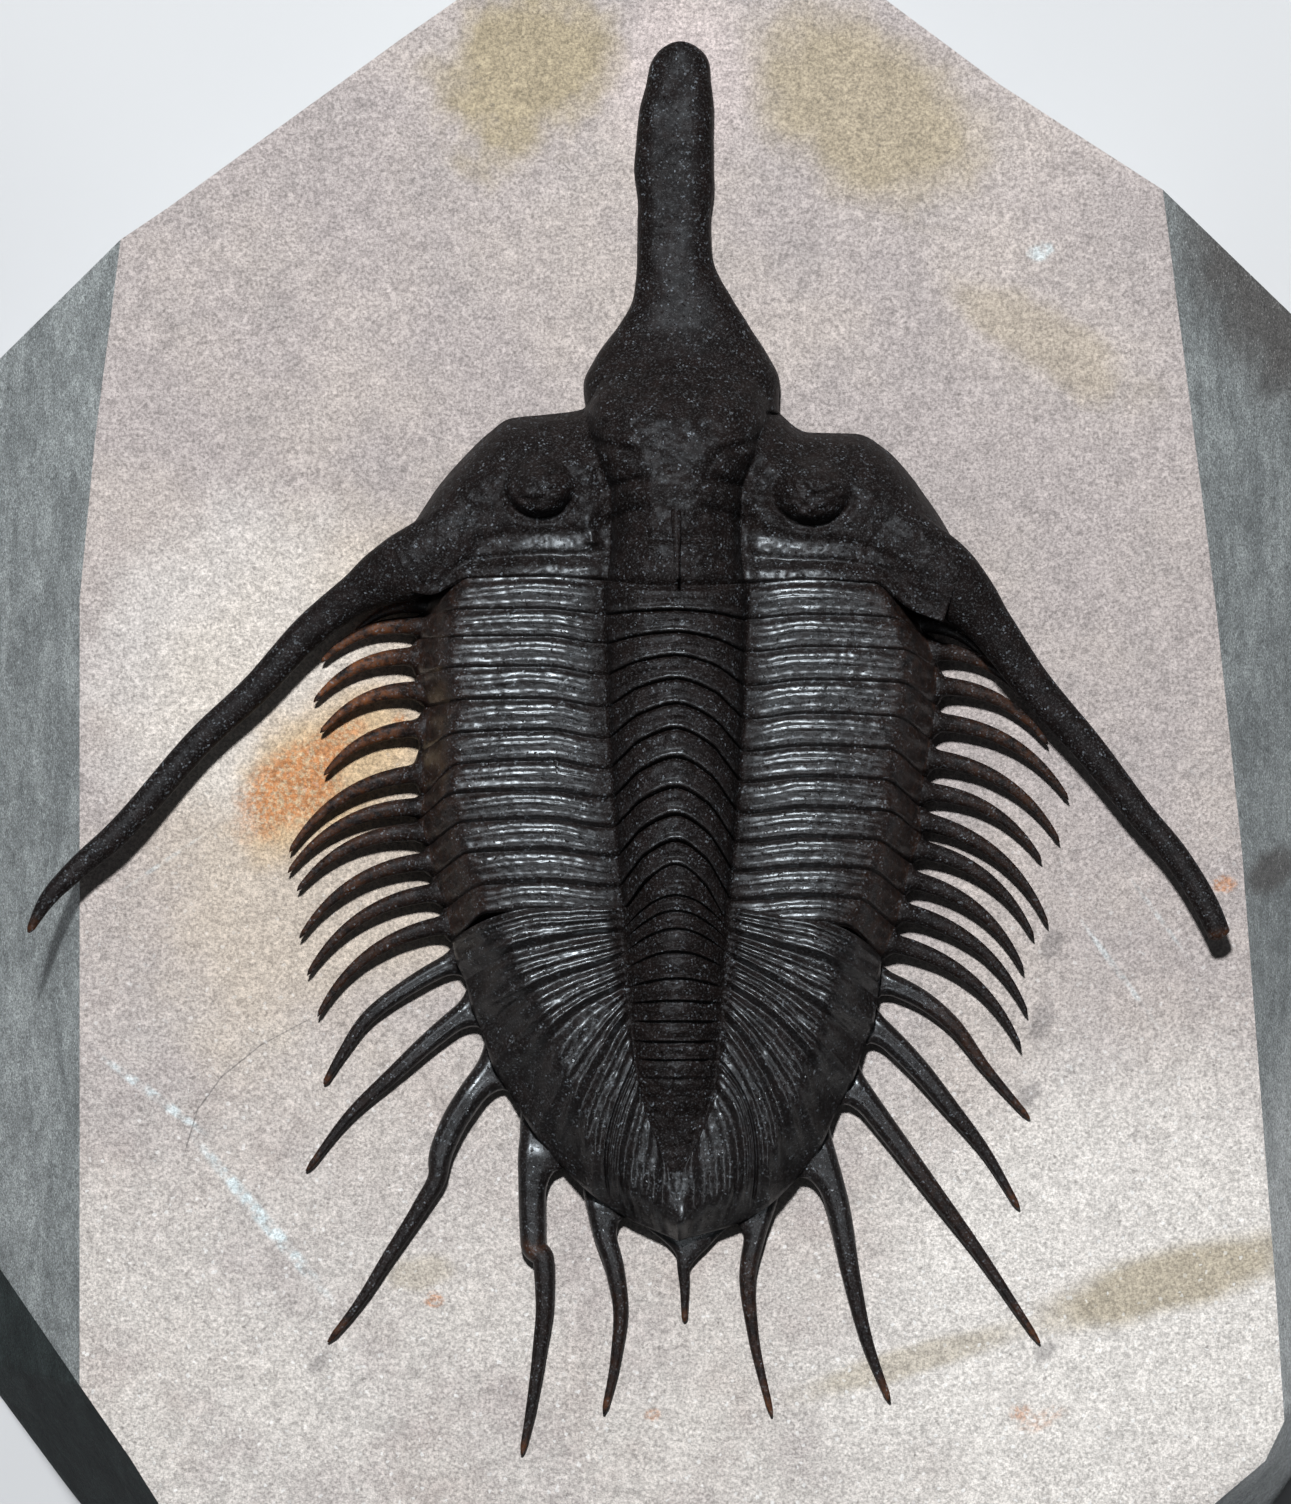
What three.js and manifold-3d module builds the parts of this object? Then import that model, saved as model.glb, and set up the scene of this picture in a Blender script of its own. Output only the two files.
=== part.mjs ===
// A spiny trilobite lying back upwards on the sawn slab of limestone that it was freed from.
// Millimetres, +Z up, +Y towards the head, +X to the right seen from above.
// The origin is the middle of the slab's underside.
// Heights of the fossil's own forms are measured from its bed, just above the slab's top face.

import * as THREE from 'three';
import { mergeVertices } from 'three/addons/utils/BufferGeometryUtils.js';
import Module from 'manifold-3d';

const wasm = await Module();
wasm.setup();

// Slab
const SLAB_THICKNESS = 24;
const SLAB_HALF_WIDTH = 56.5;
const SLAB_HALF_LENGTH = 64;
const CLEARANCE = 0.3;
const BED = SLAB_THICKNESS + CLEARANCE;

// Each corner of the slab: where its top face has it, and where its foot has it.
const SLAB_CORNERS = [
  { top: [-34.6, -SLAB_HALF_LENGTH], foot: [-42.4, -SLAB_HALF_LENGTH] },
  { top: [38.1, -SLAB_HALF_LENGTH], foot: [44.5, -SLAB_HALF_LENGTH] },
  { top: [44.1, -58.0], foot: [50.0, -60.0] },
  { top: [48.0, -54.7], foot: [54.0, -54.0] },
  { top: [49.5, -51.6], foot: [SLAB_HALF_WIDTH, -46.0] },
  { top: [48.8, -41.0], foot: [SLAB_HALF_WIDTH, -36.0] },
  { top: [46.2, -7.3], foot: [SLAB_HALF_WIDTH, -7.3] },
  { top: [44.1, 12.5], foot: [SLAB_HALF_WIDTH, 12.5] },
  { top: [40.0, 44.5], foot: [SLAB_HALF_WIDTH, 31.0] },
  { top: [27.3, 52.7], foot: [27.3, 52.7] },
  { top: [12.1, SLAB_HALF_LENGTH], foot: [12.1, SLAB_HALF_LENGTH] },
  { top: [-8.3, SLAB_HALF_LENGTH], foot: [-8.3, SLAB_HALF_LENGTH] },
  { top: [-19.5, 56.2], foot: [-19.5, 56.2] },
  { top: [-37.6, 43.1], foot: [-37.6, 43.1] },
  { top: [-41.3, 40.6], foot: [-SLAB_HALF_WIDTH, 28.0] },
  { top: [-43.3, 25.0], foot: [-SLAB_HALF_WIDTH, 20.0] },
  { top: [-44.5, 12.5], foot: [-SLAB_HALF_WIDTH, 10.0] },
  { top: [-44.5, -48.8], foot: [-SLAB_HALF_WIDTH, -34.6] },
  { top: [-44.5, -48.8], foot: [-54.5, -48.0] },
  { top: [-40.6, -54.4], foot: [-47.1, -58.0] },
];

// Body: sizes along the back, each pair a place along Y and the size there.
const MIDLINE = 2.0;
const AXIS_HALF_WIDTH = [[-28.8, 2.1], [-22.6, 2.9], [-14.8, 3.8], [-7, 4.5], [0.8, 5.1], [14, 5.6]];
const AXIS_HEIGHT = [[-32, 3.8], [-26, 6.2], [-18, 8.4], [-8, 10.2], [2, 11.2], [14, 11.0]];
const FIELD_HEIGHT = [[-38, 2.4], [-28, 4.4], [-18, 6.2], [-8, 7.2], [2, 7.6], [14, 7.4]];
const MARGIN_HEIGHT = 2.0;
const FURROW_DROP = 0.6;
const FULCRUM_DROP = 0.8;
const FULCRUM_INSET = 2.8;

// Thorax: joints between its segments, numbered from the head (0) to the tail shield (11).
const SEGMENT_COUNT = 11;
const FIRST_RING_JOINT = 13.3;
const RING_LENGTHS = [1.7, 1.7, 1.8, 1.8, 1.9, 1.9, 2.2, 2.3, 2.1, 2.0, 1.9];
const FIRST_FIELD_JOINT = 14.0;
const FIELD_LENGTHS = [2.6, 2.6, 2.6, 2.5, 2.4, 2.3, 2.3, 2.2, 2.1, 2.0, 1.9];
const RIGHT_LAG = 0.25;
const RIGHT_LAG_GROWTH = 0.07;
const INNER_STATION = 10;
const NOTCHES = {
  left: [
    [-17.0, 12.8], [-17.6, 11.3], [-17.9, 9.4], [-18.1, 6.6], [-17.2, 4.1], [-17.8, 0.7],
    [-17.6, -2.8], [-17.9, -4.6], [-17.2, -6.7], [-16.8, -9.1], [-15.8, -11.5], [-15.4, -14.1],
  ],
  right: [
    [20.3, 11.6], [21.4, 9.7], [22.3, 7.2], [22.2, 4.3], [21.8, 1.6], [21.3, -1.3],
    [20.9, -3.6], [21.1, -5.8], [20.2, -8.0], [19.7, -10.5], [19.0, -13.0], [18.0, -15.4],
  ],
};
const SPINE_TIPS = {
  left: [
    [-23.0, 9.9], [-25.6, 7.6], [-26.2, 4.5], [-25.7, 2.1], [-25.4, -1.2], [-28.1, -7.2],
    [-28.2, -8.8], [-27.5, -10.2], [-27.3, -13.9], [-26.7, -16.8], [-25.9, -20.0],
  ],
  right: [
    [26.3, 7.6], [28.9, 5.0], [31.0, 1.2], [32.6, -3.1], [31.9, -6.4], [30.5, -7.9],
    [31.0, -12.9], [29.9, -13.9], [29.1, -16.5], [29.4, -19.8], [28.9, -22.5],
  ],
};
const SPINE_BOW = 0.13;
const SPINE_WIDTH = 1.25;
const SPINE_TIP_WIDTH = 0.35;
const SPINE_ROOT_HEIGHT = 1.5;
const SPINE_TIP_HEIGHT = 0.75;
const SPINE_STATIONS = [0.12, 0.4, 0.7, 1];

// Relief across one segment, from its front edge to its rear edge.
const RELIEF_STATIONS = [0, 0.22, 0.5, 0.78, 1];
const RING_RELIEF = [-1.1, -0.35, 0.05, 0, -0.6];
const FIELD_RELIEF = [-0.6, 0.1, -0.35, 0.15, -0.6];

// Tail shield: rows that fan out from the axis, ribs on the odd rows and furrows on the even ones.
const SHIELD_AXIS_STARTS = [-11.3, -12.3, -13.4, -14.4, -15.4, -16.4, -17.6, -19.0, -20.8, -23.4, -28.8, -31.6];
const SHIELD_MARGIN = {
  left: [
    [-15.4, -14.1], [-16.0, -16.2], [-14.4, -17.2], [-14.8, -20.0], [-13.1, -21.1], [-13.0, -25.0],
    [-10.9, -26.0], [-9.1, -30.9], [-6.8, -31.7], [-4.0, -35.6], [-1.9, -35.6], [2.6, -37.9],
  ],
  right: [
    [18.0, -15.4], [19.1, -17.5], [17.7, -18.6], [18.3, -21.5], [16.7, -22.2], [16.8, -25.9],
    [14.7, -26.9], [13.7, -31.7], [11.5, -32.5], [8.7, -36.1], [6.8, -36.1], [2.6, -37.9],
  ],
};
const SHIELD_BOW = 0.1;
const SHIELD_STATIONS = [0.3, 0.6, 0.85, 1];
const SHIELD_RIDGE = 0.35;
const SHIELD_SAG = 3.3;
const SHIELD_SAG_ROWS = 8;

// Tail spines: the line that each follows, and its width at the root and near the tip.
const TAIL_SPINES = [
  { line: [[-13.0, -15.0], [-15.6, -15.9], [-18.7, -17.6], [-22.1, -20.2], [-24.0, -22.9], [-25.4, -25.3]], width: 1.7 },
  { line: [[-11.6, -17.8], [-14.0, -19.4], [-16.7, -21.5], [-20.0, -24.5], [-23.4, -27.7], [-26.8, -32.1]], width: 2.0 },
  {
    line: [
      [-10.0, -22.0], [-12.0, -23.8], [-14.0, -26.2], [-15.6, -28.9], [-16.4, -31.2], [-16.5, -32.2],
      [-17.8, -34.7], [-20.3, -38.6], [-22.8, -42.5], [-25.1, -45.4],
    ],
    width: 2.4,
  },
  {
    line: [
      [-8.0, -26.5], [-8.9, -29.0], [-9.2, -31.5], [-9.1, -37.8], [-8.3, -38.9],
      [-8.2, -42.1], [-8.6, -46.0], [-9.3, -50.7], [-10.0, -54.2],
    ],
    width: 2.5,
  },
  { line: [[-4.8, -31.5], [-4.2, -33.8], [-3.6, -36.7], [-2.7, -39.8], [-2.3, -42.9], [-2.7, -46.8], [-3.6, -51.0]], width: 2.1 },
  { line: [[2.4, -34.5], [2.5, -36.2], [2.6, -38.0], [2.6, -39.4], [2.7, -41.3], [2.7, -43.8]], width: 2.6 },
  { line: [[9.6, -31.8], [9.0, -34.2], [8.2, -37.0], [7.6, -40.6], [8.0, -44.5], [9.5, -51.2]], width: 2.1 },
  { line: [[12.4, -27.5], [13.2, -30.0], [14.7, -35.1], [15.6, -39.8], [16.8, -44.9], [18.7, -50.1]], width: 2.4 },
  { line: [[14.4, -23.2], [15.8, -25.2], [17.7, -27.7], [21.5, -32.8], [25.7, -38.5], [30.4, -45.5]], width: 2.3 },
  { line: [[15.6, -19.2], [17.4, -20.6], [20.7, -23.8], [23.5, -27.2], [26.1, -30.5], [28.8, -35.0]], width: 2.1 },
  { line: [[15.8, -16.2], [18.2, -17.2], [21.1, -18.6], [23.6, -20.6], [26.1, -23.9], [29.6, -28.0]], width: 1.9 },
];
const TAIL_SPINE_TIP_WIDTH = 0.55;

// Head: front outline as X and Y pairs, left cheek, middle of the glabella and right cheek.
const HEAD_OUTLINE = [
  [-19.9, 16.6], [-18.5, 18.3], [-16.4, 21.4], [-14.0, 24.1], [-12.5, 25.5], [-10.8, 26.6],
  [-8.0, 26.9], [-5.3, 27.3], [-3.4, 29.2], [-1.6, 30.0], [0.2, 30.5],
  [2.0, 30.7],
  [4.0, 30.5], [6.0, 29.9], [8.2, 28.9], [10.2, 26.9], [12.4, 25.5], [16.0, 25.4], [18.3, 24.2],
  [19.9, 22.6], [21.4, 20.6], [23.0, 18.2], [24.3, 15.6],
];
const HEAD_REAR_REACH = { left: [1.4, 0.2], right: [2.4, -0.9] };
const HEAD_ROWS = [0, 0.1, 0.22, 0.4, 0.6, 0.78, 0.92, 1];
const GLABELLA_HALF_WIDTHS = [[13, 5.6], [19, 5.3], [24, 6.6], [28, 7.6]];
const GLABELLA_PROFILE = [[0, 10.2], [0.1, 11.2], [0.22, 10.2], [0.4, 10.4], [0.6, 10.2], [0.78, 9.3], [0.92, 7.6], [1, 5.2]];
const CHEEK_PROFILE = [[0, 6.6], [0.1, 7.3], [0.22, 6.4], [0.4, 7.0], [0.6, 7.2], [0.78, 5.8], [0.92, 3.8], [1, 2.0]];
const CHEEK_END_HEIGHT = 5.6;
const HEAD_FURROW_DROP = 1.0;
const EYES = [
  { at: [-9.0, 21.3], size: [3.0, 2.7, 3.0], level: 6.6 },
  { at: [12.9, 21.1], size: [3.4, 2.7, 3.0], level: 6.6 },
];
const NECK_SPINE = { root: [2.0, 19.3, 10.0], tip: [2.1, 13.9, 12.6], rootWidth: 1.0, tipWidth: 0.4 };

// Snout: place along Y, middle, width and height of each section, tip first.
const SNOUT_SECTIONS = [
  [55.9, 2.3, 1.4, 0.9], [54.9, 2.3, 3.4, 1.6], [52.9, 2.3, 4.8, 2.1], [50.6, 2.0, 5.8, 2.4],
  [48.3, 1.9, 6.0, 2.5], [45.6, 1.9, 6.2, 2.5], [42.4, 1.9, 5.7, 2.5], [39.2, 2.0, 5.9, 2.7],
  [36.0, 2.5, 7.7, 3.3], [33.9, 2.6, 10.1, 4.0], [31.4, 2.5, 13.5, 4.8], [29.3, 2.5, 15.3, 5.4],
  [27.0, 2.5, 15.0, 5.8],
];
const SNOUT_RIM = 0.5;

// Cheek spines: middle line with height, and width, from the root to the tip.
const CHEEK_SPINES = [
  [
    [-15.6, 17.2, 5.0, 4.6], [-18.6, 15.2, 5.0, 4.9], [-21.0, 14.0, 5.0, 4.0], [-22.9, 12.8, 4.9, 3.0],
    [-26.1, 10.4, 4.6, 2.5], [-30.8, 5.4, 4.1, 2.1], [-34.7, 1.8, 3.8, 2.0], [-41.5, -5.8, 3.7, 1.8],
    [-44.7, -8.6, 3.9, 1.5], [-46.8, -10.8, 4.0, 1.1], [-48.3, -13.4, 4.0, 0.5],
  ],
  [
    [20.0, 16.8, 5.0, 4.6], [22.6, 14.6, 5.0, 4.9], [24.9, 12.2, 5.0, 4.2], [26.5, 10.3, 4.9, 3.3],
    [29.6, 6.1, 4.6, 2.7], [34.2, 0.8, 4.2, 2.2], [38.2, -4.3, 3.9, 1.9], [40.9, -7.5, 3.9, 1.8],
    [43.4, -11.6, 3.9, 1.7], [44.4, -13.9, 3.8, 1.5],
  ],
];

const STONE = { color: 0xc3b3a6, roughness: 0.95, metalness: 0 };
const SHELL = { color: 0x1c1714, roughness: 0.35, metalness: 0 };

// Small helpers

function lerp(a, b, t) {
  return a + (b - a) * t;
}

// The value at a place, read from pairs of a place and a value in rising order.
function readAlong(pairs, place) {
  let before = pairs[0];
  for (const after of pairs) {
    if (place <= after[0]) {
      const span = after[0] - before[0];
      return span > 0 ? lerp(before[1], after[1], (place - before[0]) / span) : after[1];
    }
    before = after;
  }
  return before[1];
}

// A point at a height above the fossil's bed.
function point(x, y, height) {
  return new THREE.Vector3(x, y, BED + height);
}

function sideSign(side) {
  return side === 'left' ? -1 : 1;
}

// The middle of a bowed line from one point to another: the bow stands towards the head.
function bowedPoint(from, to, bow, t) {
  const chord = new THREE.Vector2(to[0] - from[0], to[1] - from[1]);
  const across = new THREE.Vector2(-chord.y, chord.x);
  if (across.y < 0) across.negate();
  const lift = 4 * t * (1 - t) * bow;
  return [from[0] + chord.x * t + across.x * lift, from[1] + chord.y * t + across.y * lift];
}

// Solids from points

function signedVolume(positions, triangles) {
  const a = new THREE.Vector3();
  const b = new THREE.Vector3();
  const c = new THREE.Vector3();
  let volume = 0;
  for (let i = 0; i < triangles.length; i += 3) {
    a.fromArray(positions, triangles[i] * 3);
    b.fromArray(positions, triangles[i + 1] * 3);
    c.fromArray(positions, triangles[i + 2] * 3);
    volume += a.dot(b.cross(c)) / 6;
  }
  return volume;
}

// Welds a list of corner points, three to a triangle, into one closed body with its faces out.
function weld(corners) {
  const loose = new THREE.BufferGeometry().setFromPoints(corners);
  const welded = mergeVertices(loose, 1e-3);
  const positions = welded.attributes.position.array;
  const source = welded.index.array;
  const triangles = [];
  for (let i = 0; i < source.length; i += 3) {
    const [a, b, c] = [source[i], source[i + 1], source[i + 2]];
    if (a !== b && b !== c && c !== a) triangles.push(a, b, c);
  }
  if (signedVolume(positions, triangles) < 0) triangles.reverse();
  const body = new THREE.BufferGeometry();
  body.setAttribute('position', new THREE.BufferAttribute(positions, 3));
  body.setIndex(triangles);
  return body;
}

// Adds two triangles between four corners that follow each other around a face.
function addQuad(corners, a, b, c, d) {
  corners.push(a, b, c, a, c, d);
}

// A body lofted through closed rings of equal count, with flat ends.
function loft(rings) {
  const corners = [];
  const count = rings[0].length;
  for (let i = 0; i + 1 < rings.length; i += 1) {
    for (let j = 0; j < count; j += 1) {
      const k = (j + 1) % count;
      addQuad(corners, rings[i][j], rings[i][k], rings[i + 1][k], rings[i + 1][j]);
    }
  }
  const first = rings[0];
  const last = rings[rings.length - 1];
  for (let j = 1; j + 1 < count; j += 1) {
    corners.push(first[0], first[j + 1], first[j]);
    corners.push(last[0], last[j], last[j + 1]);
  }
  return weld(corners);
}

// A body under a grid of points: the grid is its top, and it goes down to the fossil's bed.
function bodyUnderGrid(grid, outline) {
  const corners = [];
  for (let r = 0; r + 1 < grid.length; r += 1) {
    for (let c = 0; c + 1 < grid[r].length; c += 1) {
      addQuad(corners, grid[r][c], grid[r][c + 1], grid[r + 1][c + 1], grid[r + 1][c]);
    }
  }
  const floor = outline.map((p) => point(p.x, p.y, 0));
  outline.forEach((p, i) => {
    const next = (i + 1) % outline.length;
    addQuad(corners, outline[next], p, floor[i], floor[next]);
  });
  const flat = floor.map((p) => new THREE.Vector2(p.x, p.y));
  const clockwise = THREE.ShapeUtils.isClockWise(flat);
  for (const [a, b, c] of THREE.ShapeUtils.triangulateShape(flat, [])) {
    corners.push(floor[a], floor[clockwise ? b : c], floor[clockwise ? c : b]);
  }
  return weld(corners);
}

function toManifold(geometry) {
  const vertProperties = new Float32Array(geometry.attributes.position.array);
  const triVerts = new Uint32Array(geometry.index.array);
  return new wasm.Manifold(new wasm.Mesh({ numProp: 3, vertProperties, triVerts }));
}

// One body from several that run into each other.
function join(geometries) {
  const joined = geometries.map(toManifold).reduce((sum, solid) => sum.add(solid));
  const result = joined.getMesh();
  const body = new THREE.BufferGeometry();
  body.setAttribute('position', new THREE.BufferAttribute(new Float32Array(result.vertProperties), 3));
  body.setIndex(Array.from(result.triVerts));
  return body;
}

// An oval tube along points that each hold x, y, height and width.
function ovalTube(stations, sides, flatness) {
  const middles = stations.map(([x, y, height]) => point(x, y, height));
  const rings = stations.map(([, , , width], i) => {
    const ahead = middles[Math.min(i + 1, middles.length - 1)];
    const behind = middles[Math.max(i - 1, 0)];
    const along = ahead.clone().sub(behind).setZ(0).normalize();
    const across = new THREE.Vector3(-along.y, along.x, 0);
    return Array.from({ length: sides }, (_, j) => {
      const angle = (j / sides) * Math.PI * 2;
      const offset = across.clone().multiplyScalar((Math.cos(angle) * width) / 2);
      offset.z = (Math.sin(angle) * width * flatness) / 2;
      return middles[i].clone().add(offset);
    });
  });
  return loft(rings);
}

function namedMesh(name, geometry, finish) {
  geometry.computeVertexNormals();
  const mesh = new THREE.Mesh(geometry, new THREE.MeshStandardMaterial({ ...finish, flatShading: true }));
  mesh.name = name;
  return mesh;
}

// Slab of limestone

function makeMatrix() {
  const top = SLAB_CORNERS.map(({ top: [x, y] }) => new THREE.Vector3(x, y, SLAB_THICKNESS));
  const foot = SLAB_CORNERS.map(({ foot: [x, y] }) => new THREE.Vector3(x, y, 0));
  const corners = [];
  top.forEach((p, i) => {
    const next = (i + 1) % top.length;
    addQuad(corners, foot[i], foot[next], top[next], p);
  });
  const faces = [[top, false], [foot, true]];
  for (const [ring, flipped] of faces) {
    const distinct = ring.filter((p, i) => !p.equals(ring[(i + 1) % ring.length]));
    const flat = distinct.map((p) => new THREE.Vector2(p.x, p.y));
    for (const [a, b, c] of THREE.ShapeUtils.triangulateShape(flat, [])) {
      corners.push(distinct[a], distinct[flipped ? c : b], distinct[flipped ? b : c]);
    }
  }
  return weld(corners);
}

// Joints between the segments

function sumUpTo(lengths, count) {
  return lengths.slice(0, count).reduce((sum, length) => sum + length, 0);
}

// Where a joint crosses the back: the middle, the ring, its furrow, the field, the fulcrum and the margin.
function jointLine(joint, side) {
  const sign = sideSign(side);
  const apex = FIRST_RING_JOINT - sumUpTo(RING_LENGTHS, joint);
  const lag = side === 'right' ? RIGHT_LAG + RIGHT_LAG_GROWTH * joint : 0;
  const field = FIRST_FIELD_JOINT - sumUpTo(FIELD_LENGTHS, joint) - lag;
  const furrow = field - 0.3;
  const half = readAlong(AXIS_HALF_WIDTH, furrow);
  const [notchX, notchY] = NOTCHES[side][joint];
  const sag = apex - furrow;
  return {
    middle: [MIDLINE, apex],
    ring: [MIDLINE + sign * half * 0.55, apex - sag * 0.3],
    shoulder: [MIDLINE + sign * half * 0.9, apex - sag * 0.8],
    furrow: [MIDLINE + sign * half * 1.05, furrow],
    field: [MIDLINE + sign * INNER_STATION, field],
    fulcrum: [notchX - sign * FULCRUM_INSET, lerp(field, notchY, 0.4)],
    margin: [notchX, notchY],
  };
}

const BACK_STATIONS = ['middle', 'ring', 'shoulder', 'furrow', 'field', 'fulcrum', 'margin'];

// Height of the back at a station, and how much of the segment's relief it carries.
function stationForm(station, y) {
  const axis = readAlong(AXIS_HEIGHT, y);
  const field = readAlong(FIELD_HEIGHT, y);
  const forms = {
    middle: [axis, RING_RELIEF],
    ring: [lerp(field, axis, 0.84), RING_RELIEF],
    shoulder: [lerp(field, axis, 0.35), RING_RELIEF],
    furrow: [field - FURROW_DROP, FIELD_RELIEF],
    field: [field, FIELD_RELIEF],
    fulcrum: [field - FULCRUM_DROP, FIELD_RELIEF],
    margin: [MARGIN_HEIGHT, null],
  };
  return forms[station];
}

// Thoracic segments

function plateRing(front, rear, station) {
  const middleY = (front[1] + rear[1]) / 2;
  const [height, relief] = stationForm(station, middleY);
  const topPoints = RELIEF_STATIONS.map((t, i) => {
    const rise = relief ? relief[i] : -0.8 * (2 * t - 1) ** 2;
    return point(lerp(front[0], rear[0], t), lerp(front[1], rear[1], t), height + rise);
  });
  return [...topPoints, point(rear[0], rear[1], 0), point(front[0], front[1], 0)];
}

// One section of a side spine: a small arch of the same count of points as a plate's section.
function spineRing(middle, along, width, height) {
  const angles = [0, 0.25, 0.5, 0.75, 1].map((t) => Math.PI * t);
  angles.push(Math.PI * 1.33, Math.PI * 1.67);
  const across = new THREE.Vector2(-along.y, along.x);
  if (across.y < 0) across.negate();
  return angles.map((angle) => {
    const reach = (Math.cos(angle) * width) / 2;
    const lift = (Math.sin(angle) * width * 0.9) / 2;
    return point(middle[0] + across.x * reach, middle[1] + across.y * reach, height + lift);
  });
}

function sideRings(index, side) {
  const frontJoint = jointLine(index, side);
  const rearJoint = jointLine(index + 1, side);
  const half = CLEARANCE / 2;
  const rings = BACK_STATIONS.map((station) => {
    const [frontX, frontY] = frontJoint[station];
    const [rearX, rearY] = rearJoint[station];
    return plateRing([frontX, frontY - half], [rearX, rearY + half], station);
  });
  const root = [
    (frontJoint.margin[0] + rearJoint.margin[0]) / 2,
    (frontJoint.margin[1] + rearJoint.margin[1]) / 2,
  ];
  const tip = SPINE_TIPS[side][index];
  for (const t of SPINE_STATIONS) {
    const middle = bowedPoint(root, tip, SPINE_BOW, t);
    const ahead = bowedPoint(root, tip, SPINE_BOW, t + 0.05);
    const along = new THREE.Vector2(ahead[0] - middle[0], ahead[1] - middle[1]).normalize();
    const width = lerp(SPINE_WIDTH, SPINE_TIP_WIDTH, t);
    rings.push(spineRing(middle, along, width, lerp(SPINE_ROOT_HEIGHT, SPINE_TIP_HEIGHT, t)));
  }
  return rings;
}

function makeSegment(index) {
  const left = sideRings(index, 'left').slice(1).reverse();
  return loft([...left, ...sideRings(index, 'right')]);
}

// Tail shield

function shieldRow(row) {
  const axisY = SHIELD_AXIS_STARTS[row];
  const last = row === SHIELD_AXIS_STARTS.length - 1;
  const half = last ? 0 : readAlong(AXIS_HALF_WIDTH, axisY);
  const sag = row < SHIELD_SAG_ROWS ? SHIELD_SAG * (1 - row / SHIELD_SAG_ROWS) : 0;
  const ridge = row % 2 === 1 ? SHIELD_RIDGE : -SHIELD_RIDGE;
  const axis = readAlong(AXIS_HEIGHT, axisY + sag);
  const field = readAlong(FIELD_HEIGHT, axisY);
  const side = (name) => {
    const sign = sideSign(name);
    const start = [MIDLINE + sign * half * 1.05, axisY];
    const end = SHIELD_MARGIN[name][row];
    const fieldPoints = SHIELD_STATIONS.map((t) => {
      const [x, y] = last ? [lerp(start[0], end[0], t), lerp(start[1], end[1], t)] : bowedPoint(start, end, SHIELD_BOW, t);
      const local = Math.min(field, readAlong(FIELD_HEIGHT, y) + 0.4);
      const slope = t < 0.7 ? local : lerp(local, MARGIN_HEIGHT, (t - 0.6) / 0.4);
      return point(x, y, t === 1 ? MARGIN_HEIGHT - 0.2 : slope + ridge);
    });
    return [
      point(MIDLINE + sign * half * 0.55, axisY + sag * 0.7, lerp(field, axis, 0.84) + ridge),
      point(MIDLINE + sign * half * 0.9, axisY + sag * 0.2, lerp(field, axis, 0.35) + ridge),
      point(start[0], start[1], field - FURROW_DROP),
      ...fieldPoints,
    ];
  };
  const middle = point(MIDLINE, axisY + sag, last ? field - FURROW_DROP : axis + ridge);
  if (last) {
    const end = side('left').slice(2);
    return [...[...end].reverse(), middle, middle, middle, middle, middle, ...end];
  }
  return [...side('left').reverse(), middle, ...side('right')];
}

// The shield's front row follows the last joint of the thorax.
function shieldFrontRow() {
  const stations = BACK_STATIONS.map((station) => station);
  const side = (name) => {
    const joint = jointLine(SEGMENT_COUNT, name);
    return stations.map((station) => {
      const [x, y] = joint[station];
      const [height] = stationForm(station, y);
      const edge = station === 'margin' ? MARGIN_HEIGHT - 0.6 : height - 0.6;
      return point(x, y - CLEARANCE / 2, edge);
    });
  };
  const left = side('left');
  const right = side('right');
  const spread = (points) => {
    const outer = points[points.length - 1];
    const inner = points[4];
    return [...points.slice(1, 5), inner.clone().lerp(points[5], 0.5), points[5], outer];
  };
  return [...spread(left).reverse(), left[0], ...spread(right)];
}

function makePygidium() {
  const grid = [shieldFrontRow()];
  for (let row = 1; row < SHIELD_AXIS_STARTS.length; row += 1) grid.push(shieldRow(row));
  const lastRow = grid.length - 1;
  const lastColumn = grid[0].length - 1;
  const rightEdge = grid.slice(1).map((row) => row[lastColumn]);
  const leftEdge = grid.slice(1, lastRow).map((row) => row[0]).reverse();
  const body = bodyUnderGrid(grid, [...grid[0], ...rightEdge, ...leftEdge]);
  const spines = TAIL_SPINES.map(({ line, width }) => {
    const stations = line.map(([x, y], i) => {
      const t = i / (line.length - 1);
      const local = lerp(width, TAIL_SPINE_TIP_WIDTH, t ** 1.4);
      return [x, y, local * 0.45 + CLEARANCE, local];
    });
    return ovalTube(stations, 8, 0.9);
  });
  return join([body, ...spines]);
}

// Head shield

// Half of the head's rear edge from the middle outwards, along the first joint of the thorax.
function headRearEdge(side) {
  const joint = jointLine(0, side);
  const { middle, ring, shoulder, furrow, field, fulcrum, margin } = joint;
  const between = (a, b, t) => [lerp(a[0], b[0], t), lerp(a[1], b[1], t)];
  const [reachX, reachY] = HEAD_REAR_REACH[side];
  const outer = [margin[0] + sideSign(side) * reachX, margin[1] + reachY];
  const edge = [
    middle, ring, shoulder, furrow, between(furrow, field, 0.5), field, between(field, fulcrum, 0.35),
    between(field, fulcrum, 0.7), fulcrum, between(fulcrum, margin, 0.5), margin, outer,
  ];
  return edge.map(([x, y]) => [x, y + CLEARANCE / 2]);
}

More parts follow.
